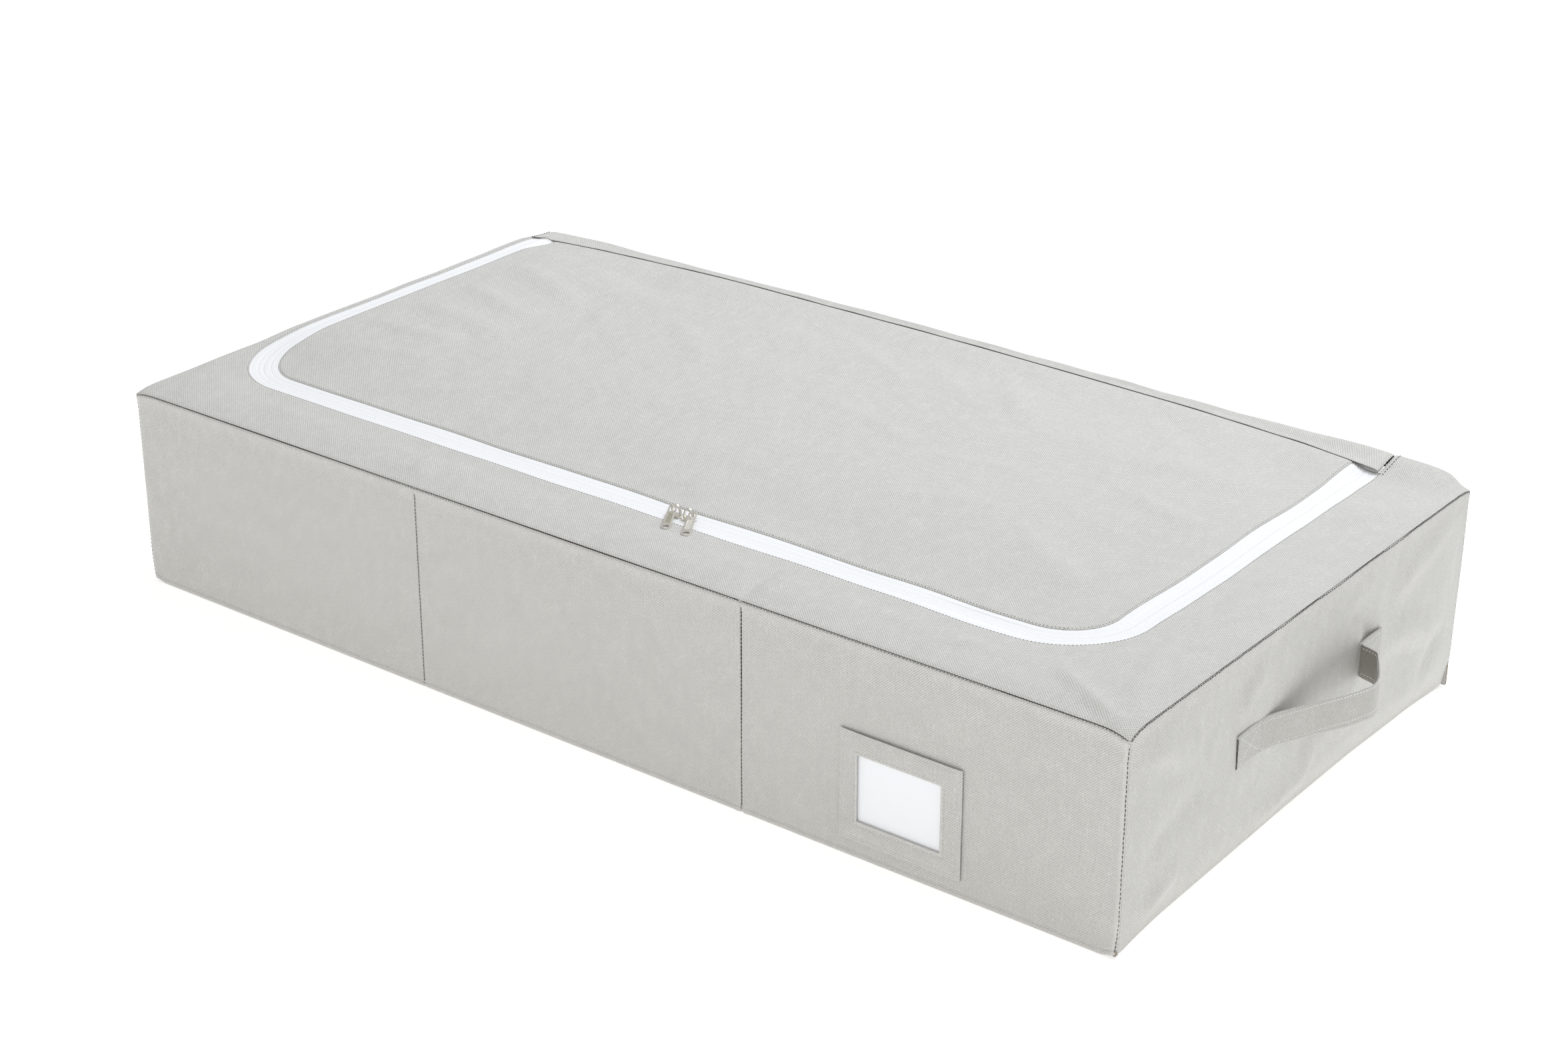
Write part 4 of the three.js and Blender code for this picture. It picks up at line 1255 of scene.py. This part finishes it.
def flat_fill(outline, holes, half, place, name, material):
    """A plate with holes, half thick on each side of its plane, as a curve turned into a mesh."""
    curve = bpy.data.curves.new(name, "CURVE")
    curve.dimensions = "2D"
    curve.fill_mode = "BOTH"
    curve.extrude = half * MM
    for loop in (outline, *holes):
        line = curve.splines.new("POLY")
        line.points.add(len(loop) - 1)
        for point, (px, py) in zip(line.points, loop):
            point.co = (px * MM, py * MM, 0, 1)
        line.use_cyclic_u = True
    holder = bpy.data.objects.new(name + "_outline", curve)
    scene.collection.objects.link(holder)
    graph = bpy.context.evaluated_depsgraph_get()
    mesh = bpy.data.meshes.new_from_object(holder.evaluated_get(graph))
    bpy.data.objects.remove(holder)
    mesh.transform(place)
    mesh.materials.clear()
    mesh.materials.append(material)
    obj = bpy.data.objects.new(name, mesh)
    scene.collection.objects.link(obj)
    with editing(mesh) as work:
        bmesh.ops.remove_doubles(work, verts=work.verts, dist=0.000005)
        bmesh.ops.recalc_face_normals(work, faces=work.faces)
    return obj


# The pull, measured from its pivot: half widths of tip and head, reach to its eye, thickness, turn
# and droop in degrees, then the window (half width, behind, ahead) and the sunk panel (start, end,
# half width).
PULL = {"tip": 3.8, "head": 3.3, "reach": 28, "behind": 4.2, "hole": 2.5, "thick": 1.2,
        "yaw": 28.5, "droop": 5.7, "window": (2.2, 2.9, 4.3), "panel": (7.2, 22.6, 2.0)}


def circle(radius, cy, steps=28):
    angles = [-2 * math.pi * i / steps for i in range(steps)]
    return [(radius * math.cos(a), cy + radius * math.sin(a)) for a in angles]


def make_pull(side_name, nose, panel_material):
    """The pull tab: a bevelled frame with a window at its head, a sunk panel and a round eye."""
    body_mid = middle(f"{side_name}_slider_body")
    crown_foot = cad(f"{side_name}_slider_crown")[0].z
    pivot = Vector((body_mid.x - nose * 3.8, ZIP_FRONT, crown_foot + 3.5))
    place = (Matrix.Translation(pivot * MM) @ Matrix.Rotation(math.radians(PULL["yaw"]), 4, "Z")
             @ Matrix.Rotation(math.radians(PULL["droop"]), 4, "X"))
    half = PULL["thick"] / 2
    w_half, w_behind, w_ahead = PULL["window"]
    window = [(-w_half, -w_ahead), (-w_half, w_behind), (w_half, w_behind), (w_half, -w_ahead)]
    p_start, p_end, p_half = PULL["panel"]
    panel = [(-p_half, -p_start), (p_half, -p_start), (p_half * 1.1, -p_end + 1), (p_half * 0.6, -p_end),
             (-p_half * 0.6, -p_end), (-p_half * 1.1, -p_end + 1)]
    holes = [window, panel, circle(PULL["hole"], -PULL["reach"])]
    rim = flat_fill(pull_outline(), holes, half, place, f"{side_name}_pull_frame", NICKEL)
    round_edges(rim, 0.32)
    ride(rim, f"{side_name}_pull", "nickel", f"{side_name}_pull_tab")
    middle_y = -(p_start + p_end) / 2
    grown = [(px * 1.12, middle_y + (py - middle_y) * 1.04) for px, py in panel]
    plate = flat_fill(grown, [], half * 0.35, place, f"{side_name}_pull_panel", panel_material)
    plate.data.set_sharp_from_angle(angle=math.radians(40))
    ride(plate, f"{side_name}_pull", "nickel")


def make_metal():
    """The two sliders, nose to nose, with their pulls, and the zip's stops."""
    # the two pulls are alike: the left sunk panel gets painted shade and the right one a painted reflection
    for side_name, nose, panel in (("left", 1, NICKEL_PANEL_PAINTED_SHADE), ("right", -1, NICKEL_PANEL_PAINTED_REFLECTION)):
        softened_copy(f"{side_name}_slider_body", f"{side_name}_slider_plate", 0.28, f"{side_name}_slider")
        softened_copy(f"{side_name}_slider_crown", f"{side_name}_slider_arch", 0.38, f"{side_name}_slider")
        make_pull(side_name, nose, panel)
        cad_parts[f"{side_name}_zip_stop"].data.materials[0] = NICKEL


# ---- everything ---------------------------------------------------------------------------------

make_camera()
make_studio()

FABRIC_GREY = fabric_material("fabric_grey_embossed", (0.715, 0.705, 0.670))
FABRIC_STRAP = fabric_material("fabric_grey_strap", (0.63, 0.62, 0.585), 1.25)
# a darker copy of the strap fabric for the loop's inner face: painted shade
FABRIC_STRAP_PAINTED_SHADE = fabric_material("fabric_grey_strap_painted_shade", (0.36, 0.345, 0.31), 1.25)
LINING = fabric_material("lining_fabric", (0.55, 0.54, 0.515), 0.6)
TAPE_WHITE = tape_material()
COIL_WHITE = coil_material()
NICKEL = nickel_material("nickel", (0.85, 0.82, 0.75), 0.28)
# darker and brighter copies of the nickel for the pulls' sunk panels: painted shade and painted reflection
NICKEL_PANEL_PAINTED_SHADE = nickel_material("nickel_sunk_panel_painted_shade", (0.50, 0.49, 0.39), 0.42)
NICKEL_PANEL_PAINTED_REFLECTION = nickel_material("nickel_sunk_panel_painted_reflection", (0.93, 0.91, 0.84), 0.36)
CLEAR_FILM = film_material()
CARD_WHITE = card_material()
BOARD = board_material()
THREAD = thread_material("thread_light", (0.9, 0.895, 0.875))
THREAD_GREY = thread_material("thread_grey", (0.39, 0.385, 0.36))
# near-black thread for seam grooves, stitch pits and the tab's cut edge: painted shade
THREAD_PAINTED_SHADE = thread_material("thread_painted_shade", (0.085, 0.08, 0.07))

make_rim()
make_lid()
make_back_strip()
make_tape("rim_tape", 1, "box", "rim_zip_tape")
make_tape("lid_tape", -1, "lid", "lid_zip_tape")
make_coil("rim_coil", 1, "box", "rim_zip_coil")
make_coil("lid_coil", -1, "lid", "lid_zip_coil")
make_top_sewing()
make_long_wall("front_panel", -1)
make_long_wall("back_panel", 1)
make_end_wall("left_side_panel", -1)
make_end_wall("right_side_panel", 1)
make_base()
make_linings()
make_wall_sewing()
make_handle("left", -1)
make_handle("right", 1)
make_pocket()
make_card()
make_metal()
for node_name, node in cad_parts.items():
    if "_board_" in node_name:
        node.data.materials[0] = BOARD
